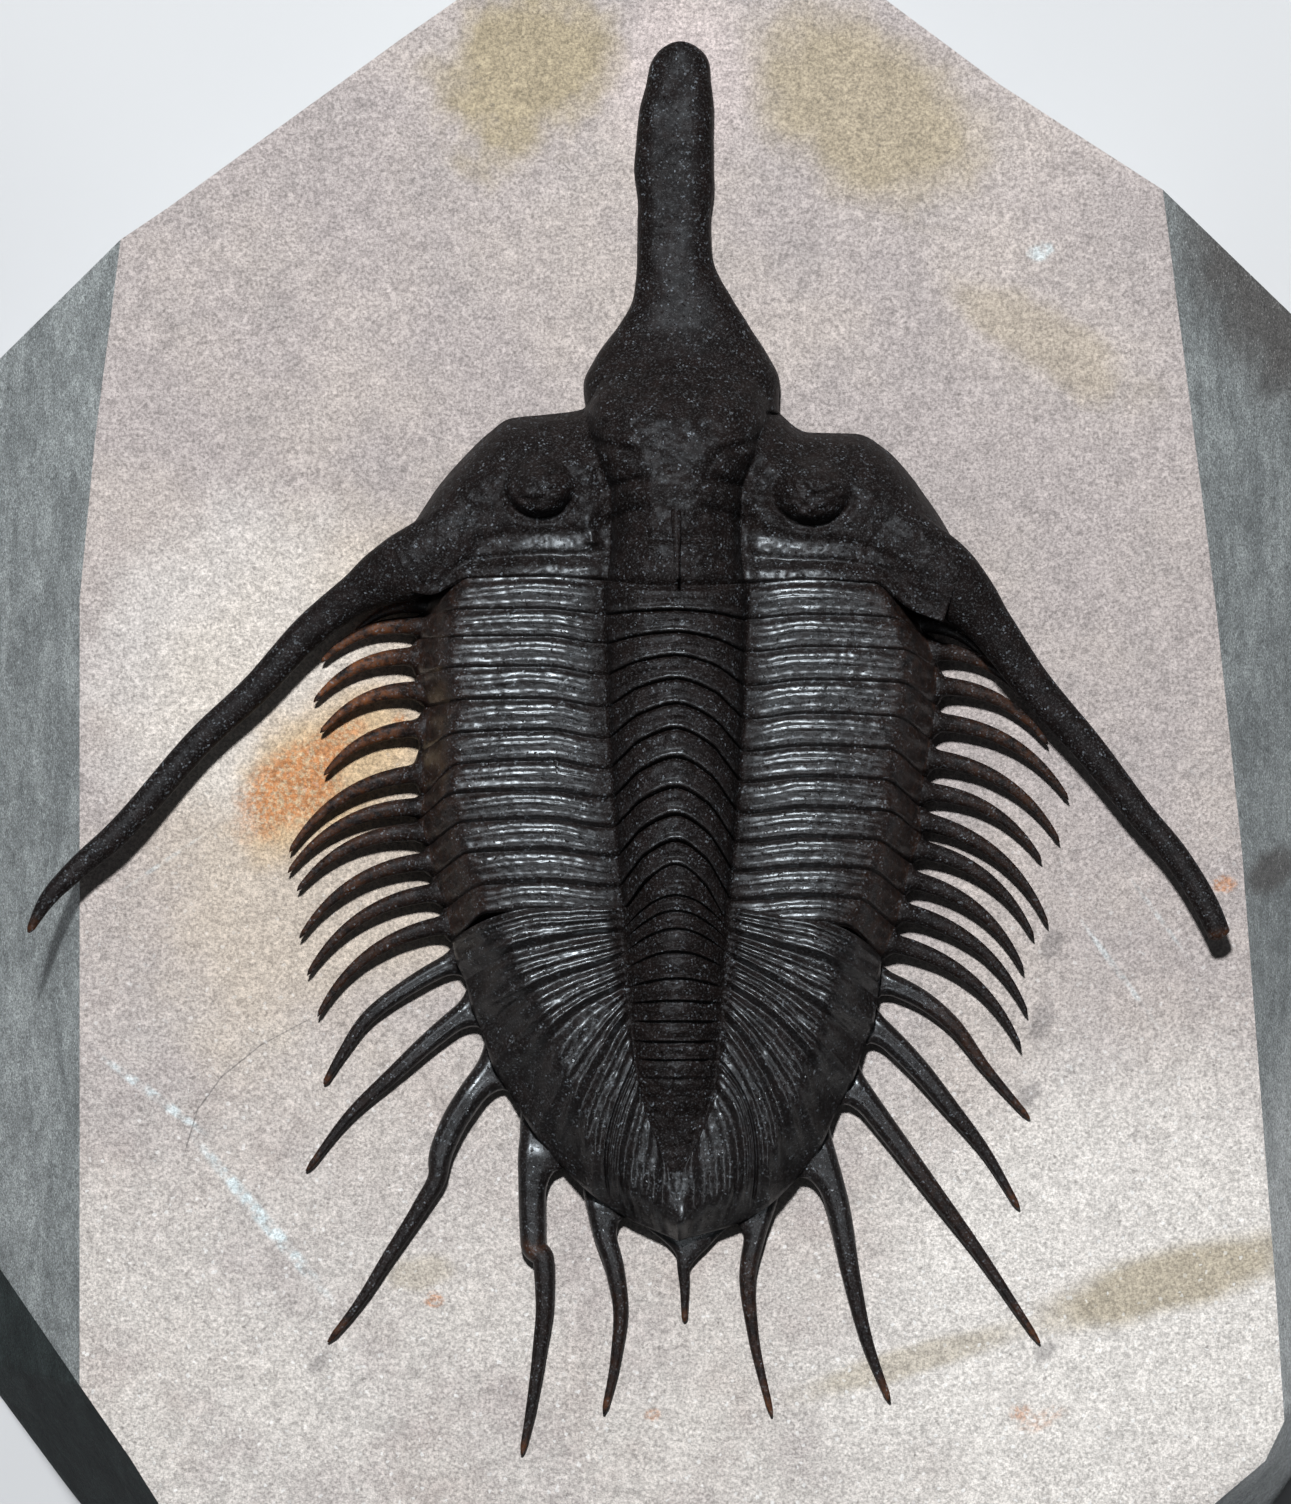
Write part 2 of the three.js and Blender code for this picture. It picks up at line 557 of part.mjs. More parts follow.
function headHeight(x, y, row) {
  const half = readAlong(GLABELLA_HALF_WIDTHS, y);
  const reach = Math.abs(x - MIDLINE) / half;
  const glabella = readAlong(GLABELLA_PROFILE, row);
  const cheek = readAlong(CHEEK_PROFILE, row);
  const outward = THREE.MathUtils.smoothstep(Math.abs(x - MIDLINE), 13, 21);
  const side = lerp(cheek, Math.min(cheek, CHEEK_END_HEIGHT), outward);
  if (reach < 1) return lerp(side, glabella, Math.sqrt(1 - reach ** 2));
  return side - HEAD_FURROW_DROP * THREE.MathUtils.clamp(1.35 - reach, 0, 0.35) / 0.35;
}

function makeHeadBody() {
  const rear = [...headRearEdge('left').slice(1).reverse(), ...headRearEdge('right')];
  const rows = HEAD_ROWS.map((row) => HEAD_OUTLINE.map(([frontX, frontY], column) => {
    const x = lerp(rear[column][0], frontX, row);
    const y = lerp(rear[column][1], frontY, row);
    return point(x, y, headHeight(x, y, row));
  }));
  const lastColumn = HEAD_OUTLINE.length - 1;
  const front = rows[rows.length - 1];
  const inner = rows.slice(1, -1);
  const rightEdge = inner.map((row) => row[lastColumn]);
  const leftEdge = inner.map((row) => row[0]).reverse();
  return bodyUnderGrid(rows, [...rows[0], ...rightEdge, ...[...front].reverse(), ...leftEdge]);
}

function makeSnout() {
  const rings = SNOUT_SECTIONS.map(([y, middle, width, height]) => {
    const arch = Array.from({ length: 7 }, (_, i) => {
      const angle = (Math.PI * i) / 6;
      const rise = SNOUT_RIM + (height - SNOUT_RIM) * Math.sin(angle);
      return point(middle + (Math.cos(angle) * width) / 2, y, rise);
    });
    return [...arch, point(middle - width * 0.45, y, 0), point(middle + width * 0.45, y, 0)];
  });
  return loft(rings);
}

function makeEye({ at: [x, y], size: [a, b, c], level }) {
  const eye = new THREE.SphereGeometry(1, 12, 8);
  eye.rotateX(Math.PI / 2);
  eye.scale(a, b, c);
  eye.translate(x, y, BED + level);
  const corners = [];
  const positions = eye.attributes.position;
  for (const i of eye.index.array) corners.push(new THREE.Vector3().fromBufferAttribute(positions, i));
  return weld(corners);
}

function makeCephalon() {
  const { root, tip, rootWidth, tipWidth } = NECK_SPINE;
  const neckSpine = ovalTube([[...root, rootWidth], [...tip, tipWidth]], 6, 1);
  const cheekSpines = CHEEK_SPINES.map((stations) => ovalTube(stations, 10, 0.75));
  return join([makeHeadBody(), makeSnout(), ...EYES.map(makeEye), neckSpine, ...cheekSpines]);
}

const trilobite = new THREE.Group();
trilobite.add(namedMesh('matrix', makeMatrix(), STONE));
trilobite.add(namedMesh('cephalon', makeCephalon(), SHELL));
for (let index = 0; index < SEGMENT_COUNT; index += 1) {
  const name = `thorax_segment_${String(index + 1).padStart(2, '0')}`;
  trilobite.add(namedMesh(name, makeSegment(index), SHELL));
}
trilobite.add(namedMesh('pygidium', makePygidium(), SHELL));

export default trilobite;
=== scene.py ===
"""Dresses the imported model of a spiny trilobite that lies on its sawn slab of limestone.

Blender 4.5. Lengths here are millimetres until a mesh is made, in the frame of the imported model:
+Y towards the head, +X to the right seen from above, +Z up, the origin under the slab's middle.
Heights of the fossil's own forms are measured from its bed, just above the slab's top face.
"""

from __future__ import annotations

import logging
import math
from dataclasses import dataclass
from enum import Enum
from typing import Sequence

import bpy
import numpy as np
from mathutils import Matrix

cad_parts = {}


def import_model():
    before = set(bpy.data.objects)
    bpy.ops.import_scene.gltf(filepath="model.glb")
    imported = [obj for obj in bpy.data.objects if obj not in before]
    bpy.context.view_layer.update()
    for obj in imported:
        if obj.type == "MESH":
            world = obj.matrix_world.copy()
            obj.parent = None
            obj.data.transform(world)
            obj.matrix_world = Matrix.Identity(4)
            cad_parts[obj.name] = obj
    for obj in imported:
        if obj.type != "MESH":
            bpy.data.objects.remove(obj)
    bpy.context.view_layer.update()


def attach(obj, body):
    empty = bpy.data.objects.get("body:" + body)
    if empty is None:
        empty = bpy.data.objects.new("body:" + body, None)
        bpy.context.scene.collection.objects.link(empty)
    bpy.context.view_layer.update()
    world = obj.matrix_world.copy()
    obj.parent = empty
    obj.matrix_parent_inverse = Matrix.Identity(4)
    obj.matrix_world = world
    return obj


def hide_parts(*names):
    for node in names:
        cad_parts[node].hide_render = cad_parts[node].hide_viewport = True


Array = np.ndarray
Materials = Sequence[bpy.types.Material]
Node = bpy.types.Node
Piece = bpy.types.Object
Socket = bpy.types.NodeSocket
Colour = tuple[float, float, float, float]
Pairs = tuple[tuple[float, ...], ...]

LOG = logging.getLogger("trilobite")
MM = 0.001
SLAB_TOP = 24.0
BED = SLAB_TOP + 0.3
SUNK = -0.7
FAR_BELOW = -50.0
DRIFT_CELLS = 64
PHOTO_ROWS = 1504
MM_A_PIXEL = 0.078


class Side(Enum):
    """The side of the animal, seen from above with its head at the top."""

    LEFT = -1
    RIGHT = 1


def eased(places: Sequence[float], values: Sequence[float], at: Array) -> Array:
    """Reads a curve through given values that never overshoots them.

    Args:
        places: Rising places of the values.
        values: The values there.
        at: Where to read the curve.

    Returns:
        The curve's values at those places, held flat beyond both ends.
    """
    xs, ys = np.asarray(places, float), np.asarray(values, float)
    steps, slopes = np.diff(xs), np.diff(ys) / np.diff(xs)
    tangents = np.zeros_like(ys)
    tangents[0], tangents[-1] = slopes[0], slopes[-1]
    if len(xs) > 2:
        before, after = slopes[:-1], slopes[1:]
        wide = 2 * steps[1:] + steps[:-1]
        narrow = steps[1:] + 2 * steps[:-1]
        same = before * after > 0
        safe_before = np.where(same, before, 1.0)
        safe_after = np.where(same, after, 1.0)
        mean = (wide + narrow) / (wide / safe_before + narrow / safe_after)
        tangents[1:-1] = np.where(same, mean, 0.0)
    at = np.asarray(at, float)
    i = np.clip(np.searchsorted(xs, at, side="right") - 1, 0, len(xs) - 2)
    t = np.clip((at - xs[i]) / steps[i], 0.0, 1.0)
    start = (2 * t**3 - 3 * t**2 + 1) * ys[i] + (t**3 - 2 * t**2 + t) * steps[i] * tangents[i]
    end = (3 * t**2 - 2 * t**3) * ys[i + 1] + (t**3 - t**2) * steps[i] * tangents[i + 1]
    return start + end


def along(pairs: Pairs, at: Array) -> Array:
    """Reads pairs of place and value as a smooth curve."""
    return eased([p[0] for p in pairs], [p[1] for p in pairs], at)


def ramp(x: Array, low: float, high: float) -> Array:
    """Rises smoothly from 0 at low to 1 at high."""
    t = np.clip((np.asarray(x, float) - low) / (high - low), 0.0, 1.0)
    return t * t * (3 - 2 * t)


def band(x: Array, rise: tuple[float, float], fall: tuple[float, float]) -> Array:
    """Rises smoothly from 0 to 1 between two places, and falls back to 0 between two others."""
    return ramp(x, *rise) * (1 - ramp(x, *fall))


def hump(x: Array, centre: float, width: float) -> Array:
    """A round hump of height 1."""
    return np.exp(-(((np.asarray(x, float) - centre) / width) ** 2))


def blend_up(a: Array, b: Array, softness: float) -> Array:
    """The higher of two surfaces, with a fillet where they meet."""
    gap = np.clip(0.5 + 0.5 * (b - a) / softness, 0.0, 1.0)
    return a * (1 - gap) + b * gap + softness * gap * (1 - gap)


def fillet(share: Array, roundness: float) -> Array:
    """How far a root still spreads: 1 where it starts, 0 where it has drawn in.

    Args:
        share: How far along the root each place lies, from 0 to 1.
        roundness: How hollow the spread is: a straight taper at 1, a quarter circle at 2.

    Returns:
        The share of the spread that is left.
    """
    left = np.clip(1 - share, 0, 1)
    return 1 - (1 - left**roundness) ** (1 / roundness)


def drift(x: Array, y: Array, size: float, seed: int) -> Array:
    """Smooth unevenness from -1 to 1 with lumps of about the given size."""
    table = np.random.default_rng(seed).uniform(-1.0, 1.0, (DRIFT_CELLS, DRIFT_CELLS))
    u, v = np.asarray(x, float) / size, np.asarray(y, float) / size
    i, j = np.floor(u).astype(int), np.floor(v).astype(int)
    f, g = u - i, v - j
    f, g = f * f * (3 - 2 * f), g * g * (3 - 2 * g)
    i, j, i_next, j_next = (k % DRIFT_CELLS for k in (i, j, i + 1, j + 1))
    near = table[i, j] * (1 - f) + table[i_next, j] * f
    far = table[i, j_next] * (1 - f) + table[i_next, j_next] * f
    return near * (1 - g) + far * g


def uneven(x: Array, y: Array, *layers: tuple[float, float, int]) -> Array:
    """Stacks layers of unevenness, each a height, a size and a seed."""
    return sum(height * drift(x, y, size, seed) for height, size, seed in layers)


def blunt(place: Array, past: float, reach: float, least: float) -> Array:
    """Draws a width in to a round point over the last reach of a line that ends at 1."""
    return np.sqrt(np.clip((past - place) / reach, least, 1))


def raised(plan: Array, heights: Array) -> Array:
    """Points in plan with their heights."""
    return np.concatenate([plan, heights[..., None]], axis=-1)


def run(line: Array) -> Array:
    """How far each point of a line lies along it in plan, in millimetres."""
    return np.concatenate([[0], np.cumsum(np.linalg.norm(np.diff(line[:, :2], axis=0), axis=1))])


def curve(points: Sequence[Sequence[float]], at: Array) -> Array:
    """A smooth curve in plan through numbered points, read at their numbers and between them."""
    given = np.asarray(points, float)
    return np.stack([eased(np.arange(len(given)), given[:, k], at) for k in (0, 1)], axis=1)


def smooth_line(points: Sequence[Sequence[float]], count: int) -> tuple[Array, Array]:
    """A smooth line through points.

    Args:
        points: The points, each with any number of values.
        count: How many points the line gets, evenly spaced along it.

    Returns:
        The line's points, and the place of each as a share of the given points' count.
    """
    given = np.asarray(points, float)
    index = np.arange(len(given), dtype=float)
    fine = np.linspace(0, index[-1], 600)
    chords = run(given)
    at_chord = eased(index, chords, fine)
    dense = np.stack([eased(chords, given[:, k], at_chord) for k in range(given.shape[1])], axis=1)
    lengths = run(dense)
    even = np.linspace(0, lengths[-1], count)
    line = np.stack([np.interp(even, lengths, dense[:, k]) for k in range(given.shape[1])], axis=1)
    return line, np.interp(even, lengths, fine) / index[-1]


def headings(line: Array) -> Array:
    """Unit directions of a line of points, in plan."""
    steps = np.gradient(line[:, :2], axis=0)
    return steps / np.maximum(np.linalg.norm(steps, axis=1, keepdims=True), 1e-9)


class Skin:
    """Gathers grids of points into one closed mesh with a tint and a sheen for each point."""

    def __init__(self) -> None:
        """Starts empty."""
        self.points: list[Array] = []
        self.tints: list[Array] = []
        self.sheens: list[Array] = []
        self.faces: list[list[int]] = []
        self.marks: list[int] = []
        self.count = 0

    def add(
        self,
        grid: Array,
        tint: Array | float = 0.0,
        sheen: Array | float = 0.0,
        mark: Array | int = 0,
        wrap: bool = False,
    ) -> Array:
        """Adds a grid of points and its quads.

        Args:
            grid: Rows by columns by three, in millimetres.
            tint: How brown each point is, from 0 to 1.
            sheen: How satiny each point is, from 0 to 1.
            mark: Which of the piece's materials each face takes.
            wrap: Whether the last column joins the first.

        Returns:
            The grid's vertex numbers, rows by columns.
        """
        rows, columns = grid.shape[:2]
        ids = np.arange(rows * columns).reshape(rows, columns) + self.count
        self.points.append(grid.reshape(-1, 3))
        self.tints.append(np.broadcast_to(tint, (rows, columns)).reshape(-1))
        self.sheens.append(np.broadcast_to(sheen, (rows, columns)).reshape(-1))
        self.count += rows * columns
        right = np.roll(ids, -1, axis=1) if wrap else ids[:, 1:]
        left = ids if wrap else ids[:, :-1]
        quads = np.stack([left[:-1], right[:-1], right[1:], left[1:]], axis=-1)
        self.faces.extend(quads.reshape(-1, 4).tolist())
        self.marks.extend(np.broadcast_to(mark, quads.shape[:2]).reshape(-1).tolist())
        return ids

    def cap(self, ring: Array, mark: int = 0) -> None:
        """Closes a ring of vertices with one face."""
        self.faces.append([int(i) for i in ring])
        self.marks.append(mark)

    def tube(self, rings: Array, tint: Array | float = 0.0, sheen: Array | float = 0.0) -> None:
        """Adds a closed tube from rings of points."""
        ids = self.add(rings, tint, sheen, wrap=True)
        self.cap(ids[0][::-1])
        self.cap(ids[-1])

    def skirt(self, top: Array, ids: Array) -> None:
        """Closes a top surface down into the stone, round its edge and underneath."""
        edge = np.concatenate([ids[0, :], ids[1:, -1], ids[1:-1, 0][::-1]])
        rim = top.reshape(-1, 3)[edge - ids[0, 0]]
        foot = raised(rim[:, :2], np.full(len(rim), SUNK))
        below = self.add(foot[None])[0]
        quads = np.stack([edge, np.roll(edge, -1), np.roll(below, -1), below], axis=1)
        self.faces.extend(quads.tolist())
        self.marks.extend([0] * len(quads))
        self.cap(below[::-1])

    def make(self, name: str, materials: Materials) -> Piece:
        """Makes the mesh object, smooth shaded and with its faces out."""
        mesh = bpy.data.meshes.new(name)
        points = np.concatenate(self.points) + np.array([0.0, 0.0, BED])
        mesh.from_pydata((points * MM).tolist(), [], self.faces)
        for material in materials:
            mesh.materials.append(material)
        mesh.polygons.foreach_set("material_index", self.marks)
        mesh.polygons.foreach_set("use_smooth", [True] * len(mesh.polygons))
        for title, values in {"tint": self.tints, "sheen": self.sheens}.items():
            layer = mesh.attributes.new(title, "FLOAT", "POINT")
            layer.data.foreach_set("value", np.concatenate(values).astype(np.float32))
        mesh.validate()
        piece = bpy.data.objects.new(name, mesh)
        bpy.context.scene.collection.objects.link(piece)
        bpy.context.view_layer.objects.active = piece
        piece.select_set(True)
        bpy.ops.object.mode_set(mode="EDIT")
        bpy.ops.mesh.select_all(action="SELECT")
        bpy.ops.mesh.normals_make_consistent(inside=False)
        bpy.ops.object.mode_set(mode="OBJECT")
        piece.select_set(False)
        return piece


def even_halves(widths: Array) -> Array:
    """The same half width on a line's left and on its right."""
    return np.stack([widths / 2, widths / 2], axis=1)


def oval_rings(line: Array, halves: Array, heights: Array, sides: int, keel: float = 0.0) -> Array:
    """Rings of an oval tube round a line of points.

    Args:
        line: Points of the tube's middle, with their heights.
        halves: The tube's half width on its left and on its right at each point.
        heights: The tube's full height at each point.
        sides: Points in each ring.
        keel: How far two keels stand up along its top, in millimetres.

    Returns:
        The rings, points by sides by three.
    """
    heading = headings(line)
    across = np.stack([-heading[:, 1], heading[:, 0]], axis=1)
    angles = np.linspace(0, 2 * math.pi, sides, endpoint=False)
    side = np.cos(angles)[None, :]
    reach = np.where(side > 0, side * halves[:, :1], side * halves[:, 1:2])
    keels = keel * (hump(side, 0.42, 0.2) + 0.8 * hump(side, -0.38, 0.2)) * (np.sin(angles) > 0)[None, :]
    slender = np.clip(heights / heights.max(), 0, 1)[:, None]
    lift = np.sin(angles)[None, :] * heights[:, None] / 2 + keels * slender
    plan = line[:, None, :2] + across[:, None, :] * reach[:, :, None]
    return raised(plan, line[:, 2:3] + lift)


def ridge_height(x: Array, y: Array, line: Array, widths: Array, flatness: float) -> Array:
    """Height of a tube's top over each place, and well below everything beside the tube."""
    flat_x, flat_y = x.reshape(-1), y.reshape(-1)
    best = np.full(flat_x.shape, FAR_BELOW)
    picks = slice(None, None, max(1, len(line) // 60))
    for (px, py, pz), width in zip(line[picks], widths[picks]):
        share = ((flat_x - px) ** 2 + (flat_y - py) ** 2) / (width / 2) ** 2
        dome = pz + width * flatness / 2 * np.sqrt(np.clip(1 - share, 0, 1))
        best = np.where(share < 1, np.maximum(best, dome), best)
    return best.reshape(x.shape)


class Graph:
    """Builds a material's nodes in a few words."""

    MIX_INPUTS = (0, 6, 7)
    MIX_OUTPUT = 2

    def __init__(self, name: str) -> None:
        """Makes a material with a bare shader."""
        self.material = bpy.data.materials.new(name)
        self.material.use_nodes = True
        self.tree = self.material.node_tree
        self.tree.nodes.clear()
        self.shader = self.tree.nodes.new("ShaderNodeBsdfPrincipled")
        output = self.tree.nodes.new("ShaderNodeOutputMaterial")
        self.tree.links.new(self.shader.outputs[0], output.inputs[0])
        self.place = self.node("ShaderNodeTexCoord").outputs["Object"]

    def node(self, kind: str, inputs: dict[str | int, object] | None = None, **settings: object) -> Node:
        """Adds a node, sets its properties and feeds its inputs, each by its title or its number."""
        made = self.tree.nodes.new(kind)
        for key, value in settings.items():
            setattr(made, key, value)
        for key, value in (inputs or {}).items():
            self.feed(made.inputs[key], value)
        return made

    def feed(self, socket: Socket, value: object) -> None:
        """Links a socket to another, or sets its value."""
        if isinstance(value, Socket):
            self.tree.links.new(value, socket)
        else:
            socket.default_value = value

    def math(self, operation: str, *values: object) -> Socket:
        """One sum on numbers."""
        return self.node("ShaderNodeMath", dict(enumerate(values)), operation=operation).outputs[0]

    def vector(self, operation: str, *values: object) -> Socket:
        """One sum on vectors."""
        return self.node("ShaderNodeVectorMath", dict(enumerate(values)), operation=operation).outputs[0]

    def stretch(self, scale: Sequence[float] = (1, 1, 1), turn: float = 0.0) -> Socket:
        """The object's coordinates in millimetres, turned about the vertical and scaled."""
        inputs = {"Vector": self.place, "Scale": [s / MM for s in scale], "Rotation": (0, 0, turn)}
        return self.node("ShaderNodeMapping", inputs, vector_type="POINT").outputs[0]

    def noise(
        self, size: float, detail: float = 2.0, rough: float = 0.5, at: object = None, warp: float = 0.0
    ) -> Socket:
        """Cloudy noise with lumps of a size in millimetres."""
        place = at if at is not None else self.stretch()
        lumps = {"Scale": 1 / size, "Detail": detail, "Roughness": rough, "Distortion": warp}
        return self.node("ShaderNodeTexNoise", {"Vector": place, **lumps}).outputs["Fac"]

    def cells(self, size: float) -> Socket:
        """A colour of its own for each cell of a size in millimetres."""
        inputs = {"Vector": self.stretch(), "Scale": 1 / size}
        return self.node("ShaderNodeTexVoronoi", inputs).outputs["Color"]

    def split(self, value: object) -> object:
        """The three parts of a vector or a colour, named X, Y and Z."""
        return self.node("ShaderNodeSeparateXYZ", {0: value}).outputs

    def window(
        self, value: object, low: float, high: float, start: float = 0.0, end: float = 1.0
    ) -> Socket:
        """Runs smoothly from the start value at low to the end value at high."""
        inputs = {"Value": value, "From Min": low, "From Max": high, "To Min": start, "To Max": end}
        return self.node("ShaderNodeMapRange", inputs, interpolation_type="SMOOTHSTEP").outputs[0]

    def patch(self, patch: Patch) -> Socket:
        """A patch's mask: its full strength in the middle and 0 outside, with a ragged edge."""
        away = self.vector("SUBTRACT", self.stretch((1, 1, 0)), (patch.x, patch.y, 0))
        turns = {"Vector": away, "Rotation": (0, 0, -patch.turn)}
        turned = self.node("ShaderNodeMapping", turns, vector_type="POINT").outputs[0]
        shares = (1 / patch.radius, 1 / (patch.radius * patch.squash), 0)
        length = self.node(
            "ShaderNodeVectorMath", {0: self.vector("MULTIPLY", turned, shares)}, operation="LENGTH")
        clouds = self.noise(patch.radius * 0.45, 3.0, 0.6)
        wobble = self.math("MULTIPLY_ADD", clouds, patch.ragged * 2, -patch.ragged)
        mask = self.window(self.math("ADD", length.outputs["Value"], wobble), 1.0, 0.45)
        return self.math("MULTIPLY", mask, patch.amount)

    def stain(
        self, colour: object, patches: Sequence[Patch], stain: object, share: object = None
    ) -> Socket:
        """Lays patches of one colour over a colour, where the share lets them through: stains, and painted
        shadows too.
        """
        for patch in patches:
            mask = self.patch(patch)
            mask = mask if share is None else self.math("MULTIPLY", mask, share)
            colour = self.mix(mask, colour, stain)
        return colour

    def facets(self, normal: Socket, size: float, tilt: float) -> Socket:
        """Tilts the surface a little in every cell of a fine pattern, so that some cells glint.

        Args:
            normal: The normal to start from.
            size: The cells' size in millimetres.
            tilt: How far the most tilted cells lean.

        Returns:
            The tilted normal.
        """
        spread = self.vector("SUBTRACT", self.cells(size), (0.5, 0.5, 0.5))
        leaning = self.window(self.noise(size * 2, 2.0, 0.7), 0.54, 0.74, 0.0, tilt)
        lean = self.node("ShaderNodeVectorMath", {0: spread, "Scale": leaning}, operation="SCALE")
        return self.vector("NORMALIZE", self.vector("ADD", normal, lean.outputs[0]))

    def southward(self, start: float, end: float) -> Socket:
        """Rises from 0 at one place along Y to 1 at another, in millimetres."""
        return self.window(self.split(self.stretch())["Y"], start, end)

    def mix(self, amount: object, a: object, b: object, blend: str = "MIX") -> Socket:
        """Mixes two colours."""
        made = self.node("ShaderNodeMix", data_type="RGBA", blend_type=blend)
        for number, value in zip(self.MIX_INPUTS, (amount, a, b)):
            self.feed(made.inputs[number], value)
        return made.outputs[self.MIX_OUTPUT]

    def dapple(
        self, colour: object, pattern: object, low: float, high: float, dark: float, bright: float
    ) -> Socket:
        """Multiplies a colour by dark where a pattern is low, and by bright where it is high."""
        return self.mix(1.0, colour, self.window(pattern, low, high, dark, bright), "MULTIPLY")

    def dress(self, colour: object, roughness: object, gloss: object) -> None:
        """Sets the shader's colour, roughness and specular level."""
        looks = {"Base Color": colour, "Roughness": roughness, "Specular IOR Level": gloss}
        for title, value in looks.items():
            self.feed(self.shader.inputs[title], value)

    def relief(self, *layers: tuple[object, float]) -> Socket:
        """Stacks bump layers, each a height and its depth in millimetres, and returns the normal."""
        normal = None
        for height, depth in layers:
            below = {} if normal is None else {"Normal": normal}
            inputs = {"Strength": 1.0, "Distance": depth * MM, "Height": height, **below}
            normal = self.node("ShaderNodeBump", inputs).outputs[0]
        return normal


@dataclass(frozen=True)
class ShellFinish:
    """Near-black calcite shell: fine crystals glint in it, and pale specks painted into its colour stand in
    for more glints; it is brown where it thins out.
    """

    name: str = "satin_shell"
    dark: Colour = (0.0042, 0.0028, 0.0025, 1)
    worn: Colour = (0.0095, 0.0062, 0.0056, 1)
    brown: Colour = (0.165, 0.058, 0.020, 1)
    grain: Colour = (0.048, 0.047, 0.048, 1)
    # Pale specks of the crystals: partly their own paler colour, partly painted glints.
    crystal: Colour = (0.15, 0.17, 0.19, 1)
    glint_speck_size: float = 0.13
    dull_roughness: float = 0.48
    satin_roughness: float = 0.32
    dull_gloss: float = 0.08
    satin_gloss: float = 0.43
    bend: float = 1.5
    facet_size: float = 0.16
    facet_tilt: float = 1.2
    gleam: Colour = (0.86, 0.94, 1.0, 1)

    def make(self) -> bpy.types.Material:
        """Builds the material."""
        g = Graph(self.name)
        tint = g.node("ShaderNodeAttribute", attribute_name="tint").outputs["Fac"]
        colour = g.mix(g.window(g.noise(1.6, 5.0, 0.7), 0.40, 0.72), self.dark, self.worn)
        patchy = g.math("MULTIPLY", tint, g.window(g.noise(0.9, 4.0, 0.7), 0.34, 0.66))
        colour = g.mix(patchy, colour, self.brown)
        colour = g.mix(g.window(g.noise(0.17, 2.0, 0.85), 0.50, 0.76), colour, self.grain)
        # Painted glints: rare pale specks mixed into the colour, so the shell sparkles even where no lamp
        # catches it.
        glint_cells = g.window(g.split(g.cells(self.glint_speck_size))["X"], 0.87, 1.0)
        painted_glints = g.math("MULTIPLY", glint_cells, g.window(g.noise(0.9, 3.0, 0.7), 0.40, 0.75))
        colour = g.mix(painted_glints, colour, self.crystal)
        sheen = g.node("ShaderNodeAttribute", attribute_name="sheen").outputs["Fac"]
        worn_off = g.window(g.noise(0.6, 3.0, 0.65), 0.3, 0.7, -0.05, 0.07)
        base = g.window(sheen, 0.0, 1.0, self.dull_roughness, self.satin_roughness)
        gloss = g.window(sheen, 0.0, 1.0, self.dull_gloss, self.satin_gloss)
        g.dress(colour, g.math("ADD", base, worn_off), gloss)
        g.shader.inputs["IOR"].default_value = self.bend
        g.shader.inputs["Specular Tint"].default_value = self.gleam
        smooth = g.relief((g.noise(0.7, 4.0, 0.65), 0.015), (g.noise(0.2, 2.0, 0.6), 0.004))
        g.feed(g.shader.inputs["Normal"], g.facets(smooth, self.facet_size, self.facet_tilt))
        return g.material


@dataclass(frozen=True)
class Patch:
    """A patch on the stone: a stain, a vein, a crack or a painted shadow.

    Args:
        x: Its middle, in millimetres.
        y: Its middle, in millimetres.
        radius: Its half length.
        squash: Its width as a share of its length.
        turn: Direction of its length from +X, in radians.
        amount: How strongly it covers the stone.
        ragged: How uneven its edge is.
    """

    x: float
    y: float
    radius: float
    squash: float = 0.7
    turn: float = 0.0
    amount: float = 0.6
    ragged: float = 0.35


